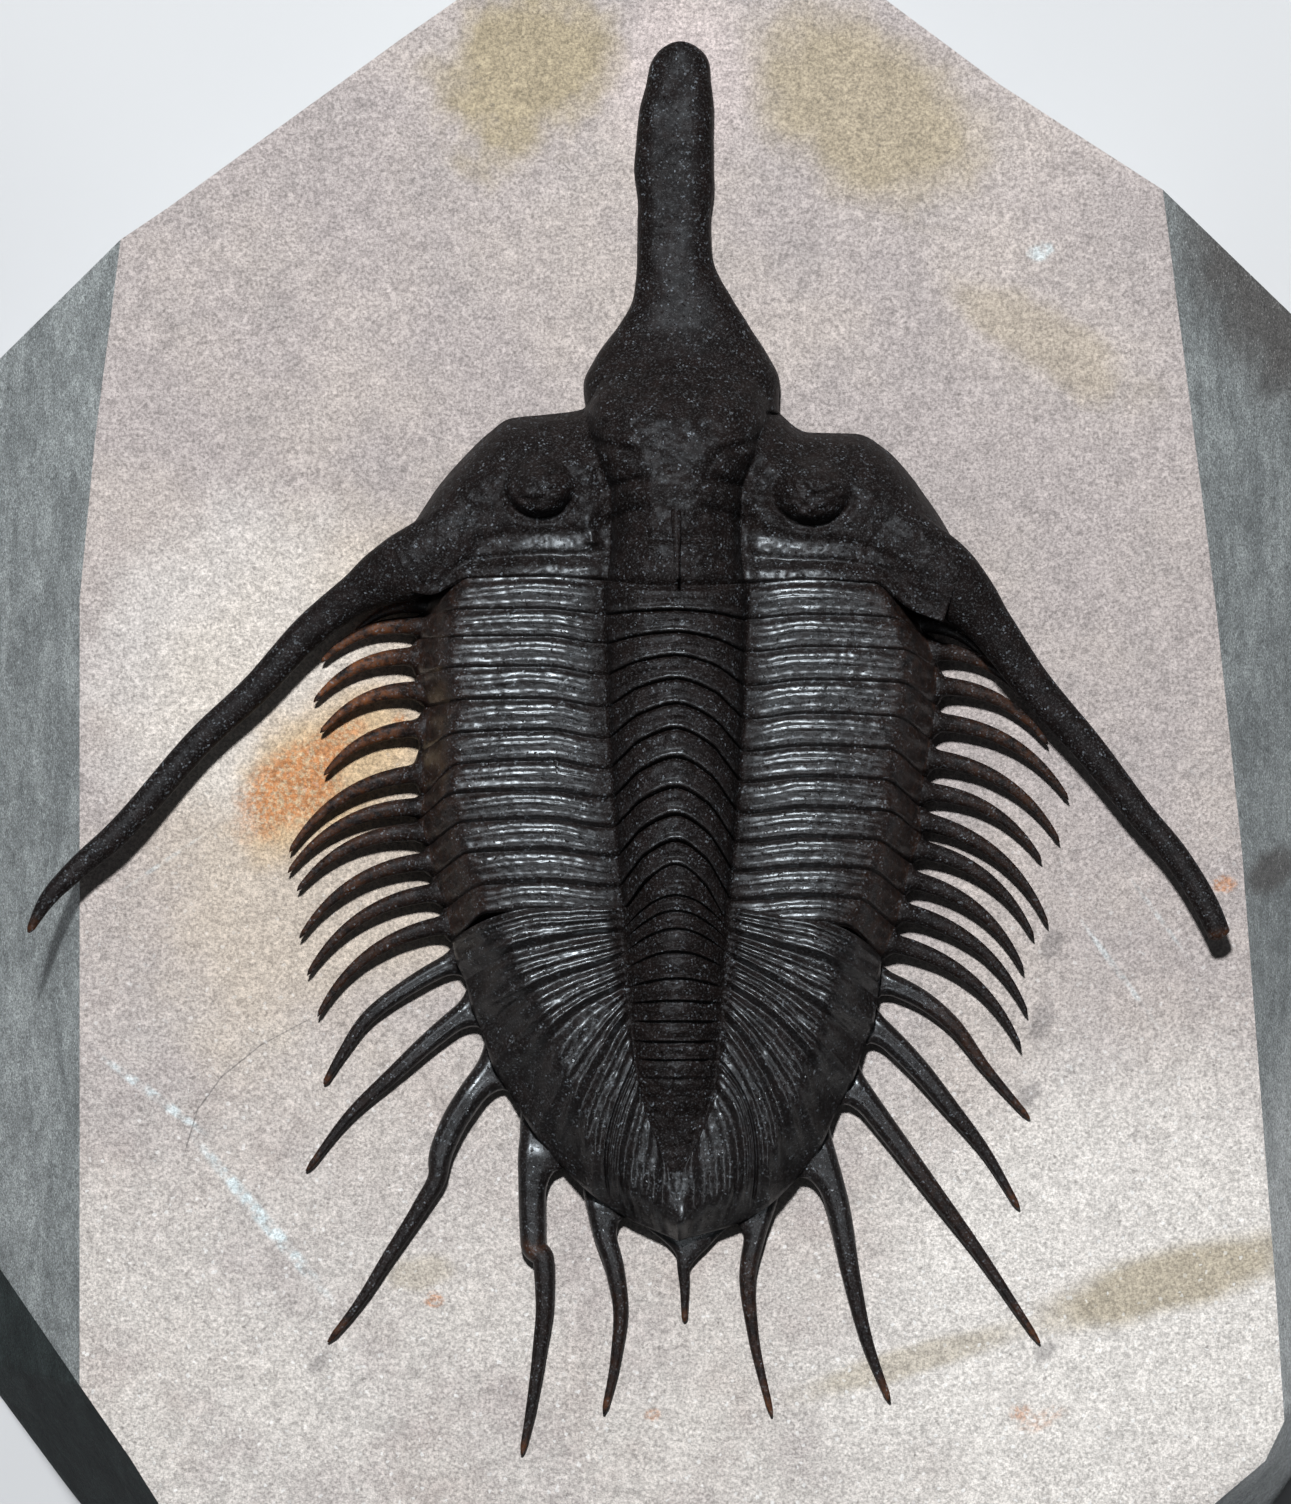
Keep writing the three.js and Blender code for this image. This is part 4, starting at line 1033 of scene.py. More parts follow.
@dataclass(frozen=True)
class TailShield:
    """The tail shield: a ringed axis, fanned ribs, and the spines that its margin grows into.

    Its rows fan out from the axis. Even rows run down the furrows between ribs and end at the notches
    between spines. Odd rows run along the ribs and end under the spines. The near, far and margin places
    say where each row passes at those shares of its length. The spines stand in order from the front
    left, round the back, to the front right.
    """

    back: Back
    axis_starts: tuple[float, ...] = (
        -11.3, -12.2, -13.3, -14.2, -15.2, -16.4, -17.5, -18.5, -19.8, -21.6, -24.4, -31.6,
    )
    near_left: Pairs = (
        (-6.8, -11.2), (-7.0, -12.5), (-6.6, -13.9), (-6.1, -15.2), (-5.7, -16.5), (-5.2, -17.8),
        (-4.8, -19.1), (-4.2, -21.2), (-3.4, -22.8), (-2.7, -24.6), (-1.7, -26.5), (2.0, -33.6),
    )
    far_left: Pairs = (
        (-11.7, -12.0), (-11.3, -13.4), (-10.8, -15.1), (-10.0, -16.6), (-9.2, -18.1), (-8.3, -19.7),
        (-7.4, -21.5), (-6.4, -24.6), (-5.2, -26.9), (-4.1, -28.9), (-2.7, -30.8), (2.1, -35.8),
    )
    margin_left: Pairs = (
        (-15.4, -14.1), (-15.1, -15.6), (-14.4, -17.2), (-13.9, -19.1), (-13.1, -21.1), (-12.3, -23.6),
        (-10.9, -26.0), (-9.0, -29.0), (-6.8, -31.7), (-4.4, -33.9), (-1.9, -35.6), (2.2, -37.4),
    )
    near_right: Pairs = (
        (10.5, -11.9), (10.5, -13.1), (10.5, -14.7), (10.4, -16.0), (10.1, -17.4), (9.9, -18.7),
        (9.5, -20.1), (9.0, -21.8), (8.4, -23.6), (7.8, -25.3), (6.9, -26.9), (2.0, -33.6),
    )
    far_right: Pairs = (
        (14.7, -12.9), (14.4, -14.4), (14.2, -16.1), (13.9, -17.9), (13.4, -19.7), (12.9, -21.5),
        (12.2, -23.2), (11.3, -25.6), (10.1, -27.7), (9.0, -29.5), (7.6, -31.2), (2.1, -35.8),
    )
    margin_right: Pairs = (
        (18.0, -15.4), (17.9, -17.0), (17.7, -18.6), (17.4, -20.4), (16.7, -22.2), (15.9, -24.6),
        (14.7, -26.9), (13.4, -29.8), (11.5, -32.5), (9.3, -34.6), (6.8, -36.1), (2.2, -37.4),
    )
    near: float = 0.35
    far: float = 0.7
    ring_joints: tuple[float, ...] = (
        -9.2, -10.4, -11.6, -13.0, -14.8, -16.9, -18.6, -20.2,
        -21.8, -23.2, -24.6, -26.0, -27.3, -28.6, -30.0,
    )
    ring_profile: Pairs = (
        (0, -0.36), (0.12, -0.30), (0.3, -0.10), (0.5, 0.0), (0.8, -0.02), (0.91, 0.12), (1.0, -0.36),
    )
    front_fall: Pairs = ((0, 0), (0.55, 0.02), (0.8, 0.16), (1.0, 1.0))
    ridges: Pairs = ((0.42, 0.16), (0.98, 0.20), (1.54, 0.24))
    spines: tuple[Spine, ...] = (
        Spine((
            (-13.0, -15.0), (-15.6, -15.9), (-18.7, -17.6), (-22.1, -20.2), (-24.0, -22.9),
            (-25.4, -25.3)), 1.7),
        Spine((
            (-11.6, -17.8), (-14.0, -19.4), (-16.7, -21.5), (-20.0, -24.5), (-23.4, -27.7),
            (-26.8, -32.1)), 2.0),
        Spine((
            (-10.0, -22.0), (-12.0, -23.8), (-14.0, -26.2), (-15.6, -28.9), (-16.4, -31.2), (-16.5, -32.2),
            (-17.8, -34.7), (-20.3, -38.6), (-22.8, -42.5), (-25.1, -45.4)), 2.4),
        Spine((
            (-8.0, -26.5), (-8.9, -29.0), (-9.2, -31.5), (-9.1, -37.8), (-8.3, -38.9),
            (-8.2, -42.1), (-8.6, -46.0), (-9.3, -50.7), (-10.0, -54.2)), 2.5, stain=(-9.0, -38.0)),
        Spine((
            (-4.8, -31.5), (-4.2, -33.8), (-3.6, -36.7), (-2.7, -39.8), (-2.3, -42.9), (-2.7, -46.8),
            (-3.6, -51.0)), 2.1, brown=0.08),
        Spine((
            (2.4, -34.5), (2.5, -36.2), (2.6, -38.0), (2.6, -39.4), (2.7, -41.3),
            (2.7, -43.8)), 1.5, keel=0.03, roundness=1.25, root_share=0.8),
        Spine((
            (9.6, -31.8), (9.0, -34.2), (8.2, -37.0), (7.6, -40.6), (8.0, -44.5),
            (9.5, -51.2)), 2.1, brown=0.12),
        Spine((
            (12.4, -27.5), (13.2, -30.0), (14.7, -35.1), (15.6, -39.8), (16.8, -44.9),
            (18.7, -50.1)), 2.4),
        Spine((
            (14.4, -23.2), (15.8, -25.2), (17.7, -27.7), (21.5, -32.8), (25.7, -38.5),
            (30.4, -45.5)), 2.3, brown=0.06),
        Spine((
            (15.6, -19.2), (17.4, -20.6), (20.7, -23.8), (23.5, -27.2), (26.1, -30.5),
            (28.8, -35.0)), 2.1),
        Spine((
            (15.8, -16.2), (18.2, -17.2), (21.1, -18.6), (23.6, -20.6), (26.1, -23.9),
            (29.6, -28.0)), 1.9, brown=0.12),
    )
    rows: int = 420
    axis_columns: int = 17
    field_columns: int = 56

    def notches(self) -> list[tuple[float, ...]]:
        """The notches between the spines, round the shield from its front left to its front right."""
        left, right = list(self.margin_left[::2]), list(self.margin_right[::2])
        return left + right[::-1]

    def axis_edge(self, r: Array) -> tuple[Array, Array]:
        """Half width of the axis, and where its edge lies, at each row."""
        index = np.arange(len(self.axis_starts))
        start = eased(index, self.axis_starts, r)
        half = along(self.back.axis_half_width, start) * 1.05
        closing = np.sqrt(np.clip(1 - np.clip(r - (index[-1] - 1), 0, 1) ** 2, 0, 1))
        return half * closing, start

    def ribs(self, r: Array, t: Array) -> Array:
        """Relief of the ribs: three fine ridges to a rib, with a deeper furrow between ribs."""
        packed = r + 2.5 * np.maximum(r - 9.5, 0)
        phase = np.mod(packed + 0.06 * drift(6 * t, 0 * t + r, 1.0, 55), 2.0)
        shape = -0.28 * hump(np.minimum(phase, 2 - phase), 0, 0.2)
        strength = (1 - 0.3 * ramp(r, 7, 9)) * (1 + 0.35 * drift(9 * t, 2 * r, 1.0, 57))
        for at, height in self.ridges:
            shape = shape + height * strength * hump(phase, at, 0.17)
        ends = 0.83 + 0.06 * ramp(r, 6.5, 9) + 0.07 * drift(3 * r, 0 * r, 1.0, 56)
        shape = shape * (1 + 0.45 * ramp(t, 0.5, 0.8))
        shape = shape * ramp(t, -0.02, 0.06) * (1 - ramp(t, ends - 0.08, ends + 0.1))
        return shape * (1 - ramp(r, 10.75, 11.0))

    def field(self, side: Side, r: Array, t: Array) -> Array:
        """Points of the ribbed field, rows by columns, from the axis edge to the margin."""
        near, far, margin = (
            (self.near_left, self.far_left, self.margin_left) if side is Side.LEFT
            else (self.near_right, self.far_right, self.margin_right))
        half, start_y = self.axis_edge(r)
        start = np.stack([self.back.midline + side.value * half, start_y], axis=1)
        plan = self.through((start, curve(near, r), curve(far, r), curve(margin, r)), t)
        at_start = along(self.back.field_height, start_y)[:, None]
        local = np.minimum(at_start, along(self.back.field_height, plan[..., 1]) + 0.5)
        first = along(self.front_fall, t)[None, :]
        behind = ramp(r, 0, 2.0)[:, None]
        late = (0.08 * ramp(r, 7, 9) - 0.06 * ramp(r, 10, 11))[:, None]
        fall = first * (1 - behind) + ramp(t[None, :], 0.66 + late, 1.08) ** 1.15 * behind
        phase = np.abs(np.mod(r, 2.0) - 1)[:, None]
        low = 0.9 + 0.7 * (1 - phase) + 1.0 * (1 - ramp(r, 0, 1.0))[:, None]
        z = local + (low - local) * fall
        z = z - 0.35 * hump(t, 0, 0.05)[None, :]
        return raised(plan, z + self.ribs(r[:, None] + 0 * t, t[None, :] + 0 * r[:, None]))

    def through(self, stops: Sequence[Array], t: Array) -> Array:
        """Smooth lines through four stops each: at the axis, near it, far from it and at the margin."""
        knots = (0.0, self.near, self.far, 1.0)
        plan = 0.0
        for k, stop in enumerate(stops):
            others = [q for q in knots if q != knots[k]]
            weight = np.prod([(t - q) / (knots[k] - q) for q in others], axis=0)
            plan = plan + stop[:, None, :] * weight[None, :, None]
        return plan

    def axis(self, r: Array, across: Array) -> Array:
        """Points of the ringed axis, rows by columns, from its left edge to its right one."""
        half, edge_y = self.axis_edge(r)
        sag = 3.3 * (1 - ramp(r, 0, 9))
        x = self.back.midline + half[:, None] * across[None, :]
        y = edge_y[:, None] + sag[:, None] * (1 - across[None, :] ** 2)
        crown = along(self.back.axis_height, edge_y + sag)[:, None]
        low = along(self.back.field_height, edge_y)[:, None] - 0.35
        crown = np.maximum(crown, low + 0.3)
        dome = np.clip(1 - np.abs(across[None, :]) ** 2.2, 0, 1)
        closing = ramp(11.0 - r, 0.0, 1.0)[:, None]
        z = low + (crown - low) * dome * closing
        joints = np.asarray(self.ring_joints)[::-1]
        apex = (edge_y + sag)[:, None] + 0 * x
        phase = np.mod(np.interp(apex, joints, np.arange(len(joints))[::-1]), 1.0)
        ring = along(self.ring_profile, phase)
        strength = (1 - 0.7 * ramp(-apex, 21, 29)) * np.clip(dome * 1.6, 0, 1) * closing
        grit = 0.10 * drift(x, y, 0.42, 73) * ramp(-y, 10, 22)
        return np.stack([x, y, z + ring * strength + grit], axis=2)

    def build(self, materials: Materials) -> Piece:
        """Builds the shield's mesh."""
        r = np.linspace(0, len(self.axis_starts) - 1, self.rows)
        t = np.linspace(0, 1, self.field_columns)
        left = self.field(Side.LEFT, r, t)[:, ::-1]
        right = self.field(Side.RIGHT, r, t)
        middle = self.axis(r, np.linspace(-1, 1, 2 * self.axis_columns + 1))[:, 1:-1]
        top = np.concatenate([left, middle, right], axis=1)
        x, y, z = np.moveaxis(top, 2, 0)
        for spine in self.spines:
            line, width, _ = spine.course()
            z = blend_up(z, ridge_height(x, y, line, width, spine.flatness), 0.5)
        swelling = np.max([spine.swelling(x, y) for spine in self.spines], axis=0)
        z = z + 0.7 * swelling + uneven(x, y, (0.05, 0.8, 71), (0.04, 0.35, 72))
        top = np.stack([x, y, z], axis=2)
        skin = Skin()
        ribbed = ramp(t, 0.02, 0.12) * (1 - 0.15 * ramp(t, 0.8, 1.0))
        sheen = np.concatenate([ribbed[::-1], np.zeros(2 * self.axis_columns - 1), ribbed])
        sheen = sheen[None, :] * (1 - 0.2 * ramp(r, 10, 11))[:, None]
        ids = skin.add(top, sheen=np.maximum(sheen, swelling))
        skin.skirt(top, ids)
        notches = self.notches()
        for k, spine in enumerate(self.spines):
            rings, place = spine.rooted(notches[k : k + 2])
            brown = spine.brown * ramp(place, 0.3, 0.7) + 0.5 * ramp(place, 0.9, 1.0)
            if spine.stain:
                away = np.linalg.norm(rings[:, :, :2].mean(axis=1) - spine.stain, axis=1)
                brown = brown + 0.25 * hump(away, 0, 0.7)
            skin.tube(rings, brown[:, None], (0.9 - 0.7 * ramp(place, 0.3, 0.7))[:, None])
        return skin.make("pygidium", materials)


@dataclass(frozen=True)
class CheekSpine:
    """A long free spine of the head: x, y, height and width from root to tip."""

    course: Pairs
    flatness: float = 0.75
    keel: float = 0.02
    points: int = 190
    sides: int = 28

    def line(self) -> tuple[Array, Array, Array]:
        """The middle line with heights, the widths, and each point's place along it."""
        dense, place = smooth_line(self.course, self.points)
        width = 1.08 * dense[:, 3] * blunt(place, 1.002, 0.015, 0.05)
        return dense[:, :3], width, place


@dataclass(frozen=True)
class HeadShield:
    """The head: glabella, eyes and cheeks, the snout, the neck spine and the cheek spines.

    An eye or a knob is its middle and its radius. A furrow of the glabella is its place, its slope and its
    depth. Each station of the snout is its place along Y, then the middle, the width and the height there.
    """

    back: Back
    outline: Pairs = (
        (-19.9, 16.6), (-18.5, 18.3), (-16.4, 21.4), (-14.0, 24.1), (-12.5, 25.5), (-10.8, 26.6),
        (-8.0, 26.9), (-5.3, 27.3), (-3.4, 29.8), (-1.6, 30.7), (0.2, 31.3), (2.0, 31.5), (4.0, 31.3),
        (6.0, 30.7), (8.2, 29.5), (10.2, 26.9), (12.4, 25.5), (16.0, 25.4), (18.3, 24.2), (19.9, 22.6),
        (21.4, 20.6), (23.0, 18.2), (24.3, 15.6),
    )
    reach_left: tuple[float, float] = (-1.4, 0.2)
    reach_right: tuple[float, float] = (2.4, -0.9)
    glabella_half_width: Pairs = ((13, 5.4), (17, 5.0), (20, 5.0), (24, 6.2), (28, 7.4))
    glabella_height: Pairs = (
        (13.4, 10.1), (14.2, 10.6), (15.8, 10.65), (16.5, 10.5), (17.1, 9.9), (17.9, 10.05), (20, 10.15),
        (24, 9.95), (26.2, 9.2), (28.4, 7.2), (29.6, 5.6), (30.7, 3.9), (31.5, 2.6),
    )
    furrows: Pairs = ((18.9, -0.3, 0.55), (21.3, -0.2, 0.5), (23.9, 0.3, 0.4))
    streak: tuple[float, float] = (-4.7, 17.9)
    cheek_profile: Pairs = (
        (0, 6.4), (0.035, 7.05), (0.06, 7.0), (0.085, 6.85), (0.115, 6.5), (0.15, 6.2), (0.185, 6.36),
        (0.265, 6.23), (0.34, 6.6), (0.6, 6.9), (0.78, 5.6), (0.92, 3.6), (1, 1.4),
    )
    cheek_end_height: float = 5.6
    eyes: Pairs = ((-8.5, 21.2, 2.7), (12.5, 20.9, 3.0))
    eye_height: float = 8.5
    knobs: Pairs = ((-0.15, 15.2, 1.25), (4.7, 14.9, 1.0))
    snout_foot: float = 0.3
    snout: Pairs = (
        (27.0, 2.5, 15.0, 6.3), (29.3, 2.5, 15.3, 5.4), (31.4, 2.5, 13.5, 4.2), (33.9, 2.6, 10.1, 3.1),
        (36.0, 2.5, 7.7, 2.8), (39.2, 2.0, 5.9, 2.65), (42.4, 1.9, 5.7, 2.55), (45.6, 1.9, 6.2, 2.5),
        (48.3, 1.9, 6.0, 2.5), (50.6, 2.0, 5.8, 2.4), (52.9, 2.3, 5.0, 2.2), (54.9, 2.3, 4.5, 1.8),
        (55.95, 2.3, 4.2, 1.4),
    )
    neck_root: tuple[float, float, float] = (2.0, 19.3, 9.8)
    neck_tip: tuple[float, float, float] = (2.1, 13.9, 12.4)
    neck_widths: tuple[float, float] = (0.9, 0.25)
    neck_points: int = 24
    neck_sides: int = 12
    cheek_spines: tuple[CheekSpine, ...] = (
        CheekSpine((
            (-15.6, 17.2, 4.8, 4.6), (-18.6, 15.2, 4.4, 4.9), (-21.0, 14.0, 3.8, 4.0),
            (-22.9, 12.8, 3.2, 3.0), (-26.1, 10.4, 2.5, 2.5), (-30.8, 5.4, 2.1, 2.2),
            (-34.7, 1.8, 2.0, 2.1), (-41.5, -5.8, 2.5, 1.9), (-44.7, -8.6, 2.7, 1.6),
            (-46.8, -10.8, 2.8, 1.2), (-48.3, -13.4, 2.9, 0.5))),
        CheekSpine((
            (20.0, 16.8, 4.8, 4.6), (22.6, 14.6, 4.4, 4.9), (24.9, 12.2, 3.8, 4.2),
            (26.5, 10.3, 3.3, 3.3), (29.6, 6.1, 2.6, 2.7), (34.2, 0.8, 2.2, 2.3),
            (38.2, -4.3, 2.1, 2.0), (40.9, -7.5, 2.2, 1.9), (43.4, -11.6, 2.4, 1.8),
            (44.4, -13.9, 2.5, 1.6))),
    )
    rows: int = 220
    columns: int = 330
    snout_rows: int = 190

    def rear_edge(self) -> Array:
        """The head's rear edge in plan, from left to right, on the thorax's first joint."""
        halves = []
        for side, reach in ((Side.LEFT, self.reach_left), (Side.RIGHT, self.reach_right)):
            middle, ring, shoulder, furrow, inner, fulcrum, margin = self.back.stations(0, side)
            halves.append(np.array([
                middle, ring, shoulder, furrow, (furrow + inner) / 2, inner,
                inner + (fulcrum - inner) * 0.35, inner + (fulcrum - inner) * 0.7, fulcrum,
                (fulcrum + margin) / 2, margin, margin + reach,
            ]))
        return np.concatenate([halves[0][:0:-1], halves[1]])

    def surface(self, x: Array, y: Array, row: Array) -> Array:
        """Height of the head's top over a place."""
        across = x - self.back.midline
        half = along(self.glabella_half_width, y)
        reach = np.abs(across) / half
        cheek = along(self.cheek_profile, row)
        outward = ramp(np.abs(across), 12, 21)
        side = cheek + (np.minimum(cheek, self.cheek_end_height) - cheek) * outward
        side = side - 0.45 * hump(reach, 1.06, 0.16) * (1 - ramp(y, 26, 28.5))
        crown = along(self.glabella_height, y)
        dome = np.clip(1 - reach**2.4, 0, 1) ** 0.7
        z = side + (crown - side) * dome - self.lobes(across, y, reach)
        lumps = uneven(x, y, (0.16, 1.5, 21), (0.10, 0.75, 22))
        z = z + lumps * (1 - ramp(reach, 0.9, 1.25)) * band(y, (16.5, 18), (28, 30))
        for knob_x, knob_y, radius in self.knobs:
            away = np.hypot(x - knob_x, y - knob_y)
            z = z + 0.13 * hump(away, radius, 0.16) * ramp(y - knob_y, -0.3, 0.4)
        streak_x = x - (self.streak[0] + 0.22 * (self.streak[1] - y))
        ends = np.clip((19.0 - y) / 2.2, 0, 1) * (1 - ramp(16.9 - y, 0, 0.4))
        z = z + 0.45 * hump(streak_x, 0, 0.45) * ends
        return self.with_eyes(x, y, z)

    def lobes(self, across: Array, y: Array, reach: Array) -> Array:
        """Depth of the furrows that cut into the glabella from its sides."""
        depth = np.zeros_like(y)
        for at, slope, deep in self.furrows:
            bent = y - at - slope * (np.abs(across) - 4)
            depth += deep * hump(bent, 0, 0.45) * band(reach, (0.35, 0.6), (0.95, 1.1))
        return depth

    def with_eyes(self, x: Array, y: Array, z: Array) -> Array:
        """Raises the eyes, each a round lobe that is steep behind and blends in at its front."""
        for at_x, at_y, radius in self.eyes:
            away = np.hypot(x - at_x, (y - at_y) * 1.1) / radius
            behind = ramp(at_y - y, -1.5, 1.8)
            bulge = np.clip(1 - away ** (1.6 + 1.8 * behind), 0, 1) ** (1.5 - 0.6 * behind)
            lobe = z + (self.eye_height - z) * bulge
            z = np.where(away < 1, lobe, z) - 0.40 * behind * hump(away, 1.05, 0.16)
            z = z + uneven(x, y, (0.15, 0.7, 31), (0.13, 0.38, 32)) * (1 - ramp(away, 0.7, 1.1))
        return z

    def snout_profile(self, y: Array) -> list[Array]:
        """The snout's middle, width and height along its length."""
        return [eased([s[0] for s in self.snout], [s[k] for s in self.snout], y) for k in (1, 2, 3)]

    def snout_top(self, x: Array, y: Array) -> Array:
        """Height of the snout over a place, and well below everything beside it."""
        middle, width, height = self.snout_profile(y)
        side = np.clip(np.abs(x - middle) / (width / 2), 0, 1)
        top = self.snout_foot + (height - self.snout_foot) * np.sqrt(1 - side**2) ** 0.7
        return np.where((side < 1) & (y > self.snout[0][0]), top, FAR_BELOW)

    def shield(self, skin: Skin, spines: Sequence[tuple[Array, Array, Array]]) -> None:
        """Adds the head's body.

        Args:
            skin: The mesh that the body is added to.
            spines: The cheek spines' lines, widths and places, which the body swells to meet.
        """
        c = np.linspace(0, len(self.outline) - 1, self.columns)
        back_line, front_line = curve(self.rear_edge(), c), curve(self.outline, c)
        row = np.linspace(0, 1, self.rows) ** 0.95
        plan = back_line[None] + (front_line - back_line)[None] * row[:, None, None]
        x, y = plan[..., 0], plan[..., 1]
        z = self.surface(x, y, row[:, None] + 0 * x)
        for (line, width, _), spine in zip(spines, self.cheek_spines):
            z = blend_up(z, ridge_height(x, y, line, width, spine.flatness), 1.0)
        z = blend_up(z, self.snout_top(x, y), 1.2)
        z = z + uneven(x, y, (0.06, 0.8, 12), (0.055, 0.4, 13)) - 0.1 * ramp(row, 0.97, 1.0)[:, None]
        beside = np.abs(x - self.back.midline)
        satin = (1 - ramp(row, 0.22, 0.32))[:, None] * ramp(beside, 4.8, 6.0)
        satin = satin * (1 - 0.9 * ramp(beside, 9, 14))
        streak = hump(np.hypot((x - self.streak[0]) * 1.6, (y - self.streak[1]) * 0.7), 0, 0.9)
        top = raised(plan, z)
        ids = skin.add(top, sheen=np.maximum(0.62 * satin, 0.8 * streak))
        skin.skirt(top, ids)

    def blade(self, skin: Skin) -> None:
        """Adds the snout, a long flat blade with rounded edges."""
        share = np.linspace(0, 1, self.snout_rows)
        y = self.snout[0][0] + (self.snout[-1][0] - self.snout[0][0]) * (1 - (1 - share) ** 1.7)
        middle, width, height = self.snout_profile(y)
        width = width * np.sqrt(np.clip(1 - np.clip(1 - (55.98 - y) / 2.1, 0, 1) ** 2, 0.002, 1))
        middle = middle + 0.08 * drift(y, 0 * y, 2.2, 15)
        angle = np.linspace(0, math.pi, 41)
        side, crown = np.cos(angle), np.sin(angle) ** 0.7
        x = middle[:, None] + side[None, :] * width[:, None] / 2
        z = self.snout_foot + (height[:, None] - self.snout_foot) * crown[None, :]
        hollow = 0.28 * hump(side, 0, 0.42)[None, :] * band(y, (36, 41), (51, 54))[:, None]
        z = z - hollow + uneven(x, y[:, None] + 0 * x, (0.06, 1.3, 14), (0.03, 0.5, 16))
        top = np.stack([x, y[:, None] + 0 * x, z], axis=2)
        under_x = middle[:, None] + np.linspace(-0.95, 0.95, 7)[None, :] * width[:, None] / 2
        under = np.stack([under_x, y[:, None] + 0 * under_x, np.full(under_x.shape, SUNK)], axis=2)
        skin.tube(np.concatenate([top, under], axis=1))

    def build(self, materials: Materials) -> Piece:
        """Builds the head's mesh."""
        skin = Skin()
        spines = [spine.line() for spine in self.cheek_spines]
        self.shield(skin, spines)
        self.blade(skin)
        for (line, width, place), spine in zip(spines, self.cheek_spines):
            rings = oval_rings(line, even_halves(width), width * spine.flatness, spine.sides, spine.keel)
            skin.tube(rings, (0.35 * ramp(place, 0.94, 1.0))[:, None])
        neck = np.linspace(self.neck_root, self.neck_tip, self.neck_points)
        width = np.linspace(*self.neck_widths, self.neck_points)
        skin.tube(oval_rings(neck, even_halves(width), width, self.neck_sides))
        return skin.make("cephalon", materials)


@dataclass(frozen=True)
class Slab:
    """The sawn slab: a worked top face, raking sides and a flat underside.

    Each corner is its place on the top edge and the place of the foot below it.
    """

    corners: Pairs = (
        (-34.6, -64, -42.4, -64), (38.1, -64, 44.5, -64), (44.1, -58.0, 50.0, -60.0),
        (48.0, -54.7, 54.0, -54.0), (49.5, -51.6, 56.5, -46.0), (48.8, -41.0, 56.5, -36.0),
        (46.2, -7.3, 56.5, -7.3), (44.1, 12.5, 56.5, 12.5), (40.0, 44.5, 56.5, 31.0),
        (27.3, 52.7, 27.3, 52.7), (12.1, 64, 12.1, 64), (-8.3, 64, -8.3, 64),
        (-19.5, 56.2, -19.5, 56.2), (-37.6, 43.1, -37.6, 43.1), (-41.3, 40.6, -56.5, 28.0),
        (-43.3, 25.0, -56.5, 20.0), (-44.5, 12.5, -56.5, 10.0), (-44.5, -48.8, -56.5, -34.6),
        (-44.5, -48.8, -54.5, -48.0), (-40.6, -54.4, -47.1, -58.0),
    )
    middle: tuple[float, float] = (1.0, -2.0)
    rings: int = 150
    side_rows: int = 22
    spacing: float = 0.85
    dressed_off: float = 0.1
    # The first side of the corner whose sawn stone is painted near black as shade.
    first_shaded_side: int = 17

    def rim(self) -> tuple[Array, Array, Array]:
        """Points round the slab's top edge, the points of its foot below them, and each one's side."""
        top, foot, sides = [], [], []
        given = np.asarray(self.corners, float)
        for number, (here, there) in enumerate(zip(given, np.roll(given, -1, axis=0))):
            span = max(np.linalg.norm(there[:2] - here[:2]), np.linalg.norm(there[2:] - here[2:]))
            share = np.linspace(0, 1, max(2, int(span / self.spacing)), endpoint=False)[:, None]
            top.append(here[:2] + (there[:2] - here[:2]) * share)
            foot.append(here[2:] + (there[2:] - here[2:]) * share)
            sides.append(np.full(len(share), number))
        return np.concatenate(top), np.concatenate(foot), np.concatenate(sides)

    def build(self, materials: Materials) -> Piece:
        """Builds the slab's mesh from the stone of its top, of its sides and of its corner that faces away
        from the lamp, painted near black as shade.
        """
        rim, foot, sides = self.rim()
        centre = np.array(self.middle)
        share = np.linspace(0.004, 1, self.rings)
        plan = centre + (rim - centre)[None] * share[:, None, None]
        x, y = plan[..., 0], plan[..., 1]
        wear = ramp(share, 0.985, 1.0)[:, None]
        level = SLAB_TOP - BED - self.dressed_off - 0.12 * wear + uneven(x, y, (0.10, 6, 3), (0.05, 1.6, 4))
        skin = Skin()
        ids = skin.add(raised(plan, level), wrap=True, mark=0)
        skin.cap(ids[0][::-1])
        down = np.linspace(0, 1, self.side_rows)
        plan = rim[None] + (foot - rim)[None] * down[:, None, None]
        z = level[-1][None] * (1 - down[:, None]) - BED * down[:, None]
        # Sides from the first shaded one on take the sawn stone painted near black as shade.
        stone = np.where(sides >= self.first_shaded_side, 2, 1)[None, :]
        side = skin.add(raised(plan, z), wrap=True, mark=stone)
        skin.cap(side[-1], 1)
        return skin.make("matrix", materials)


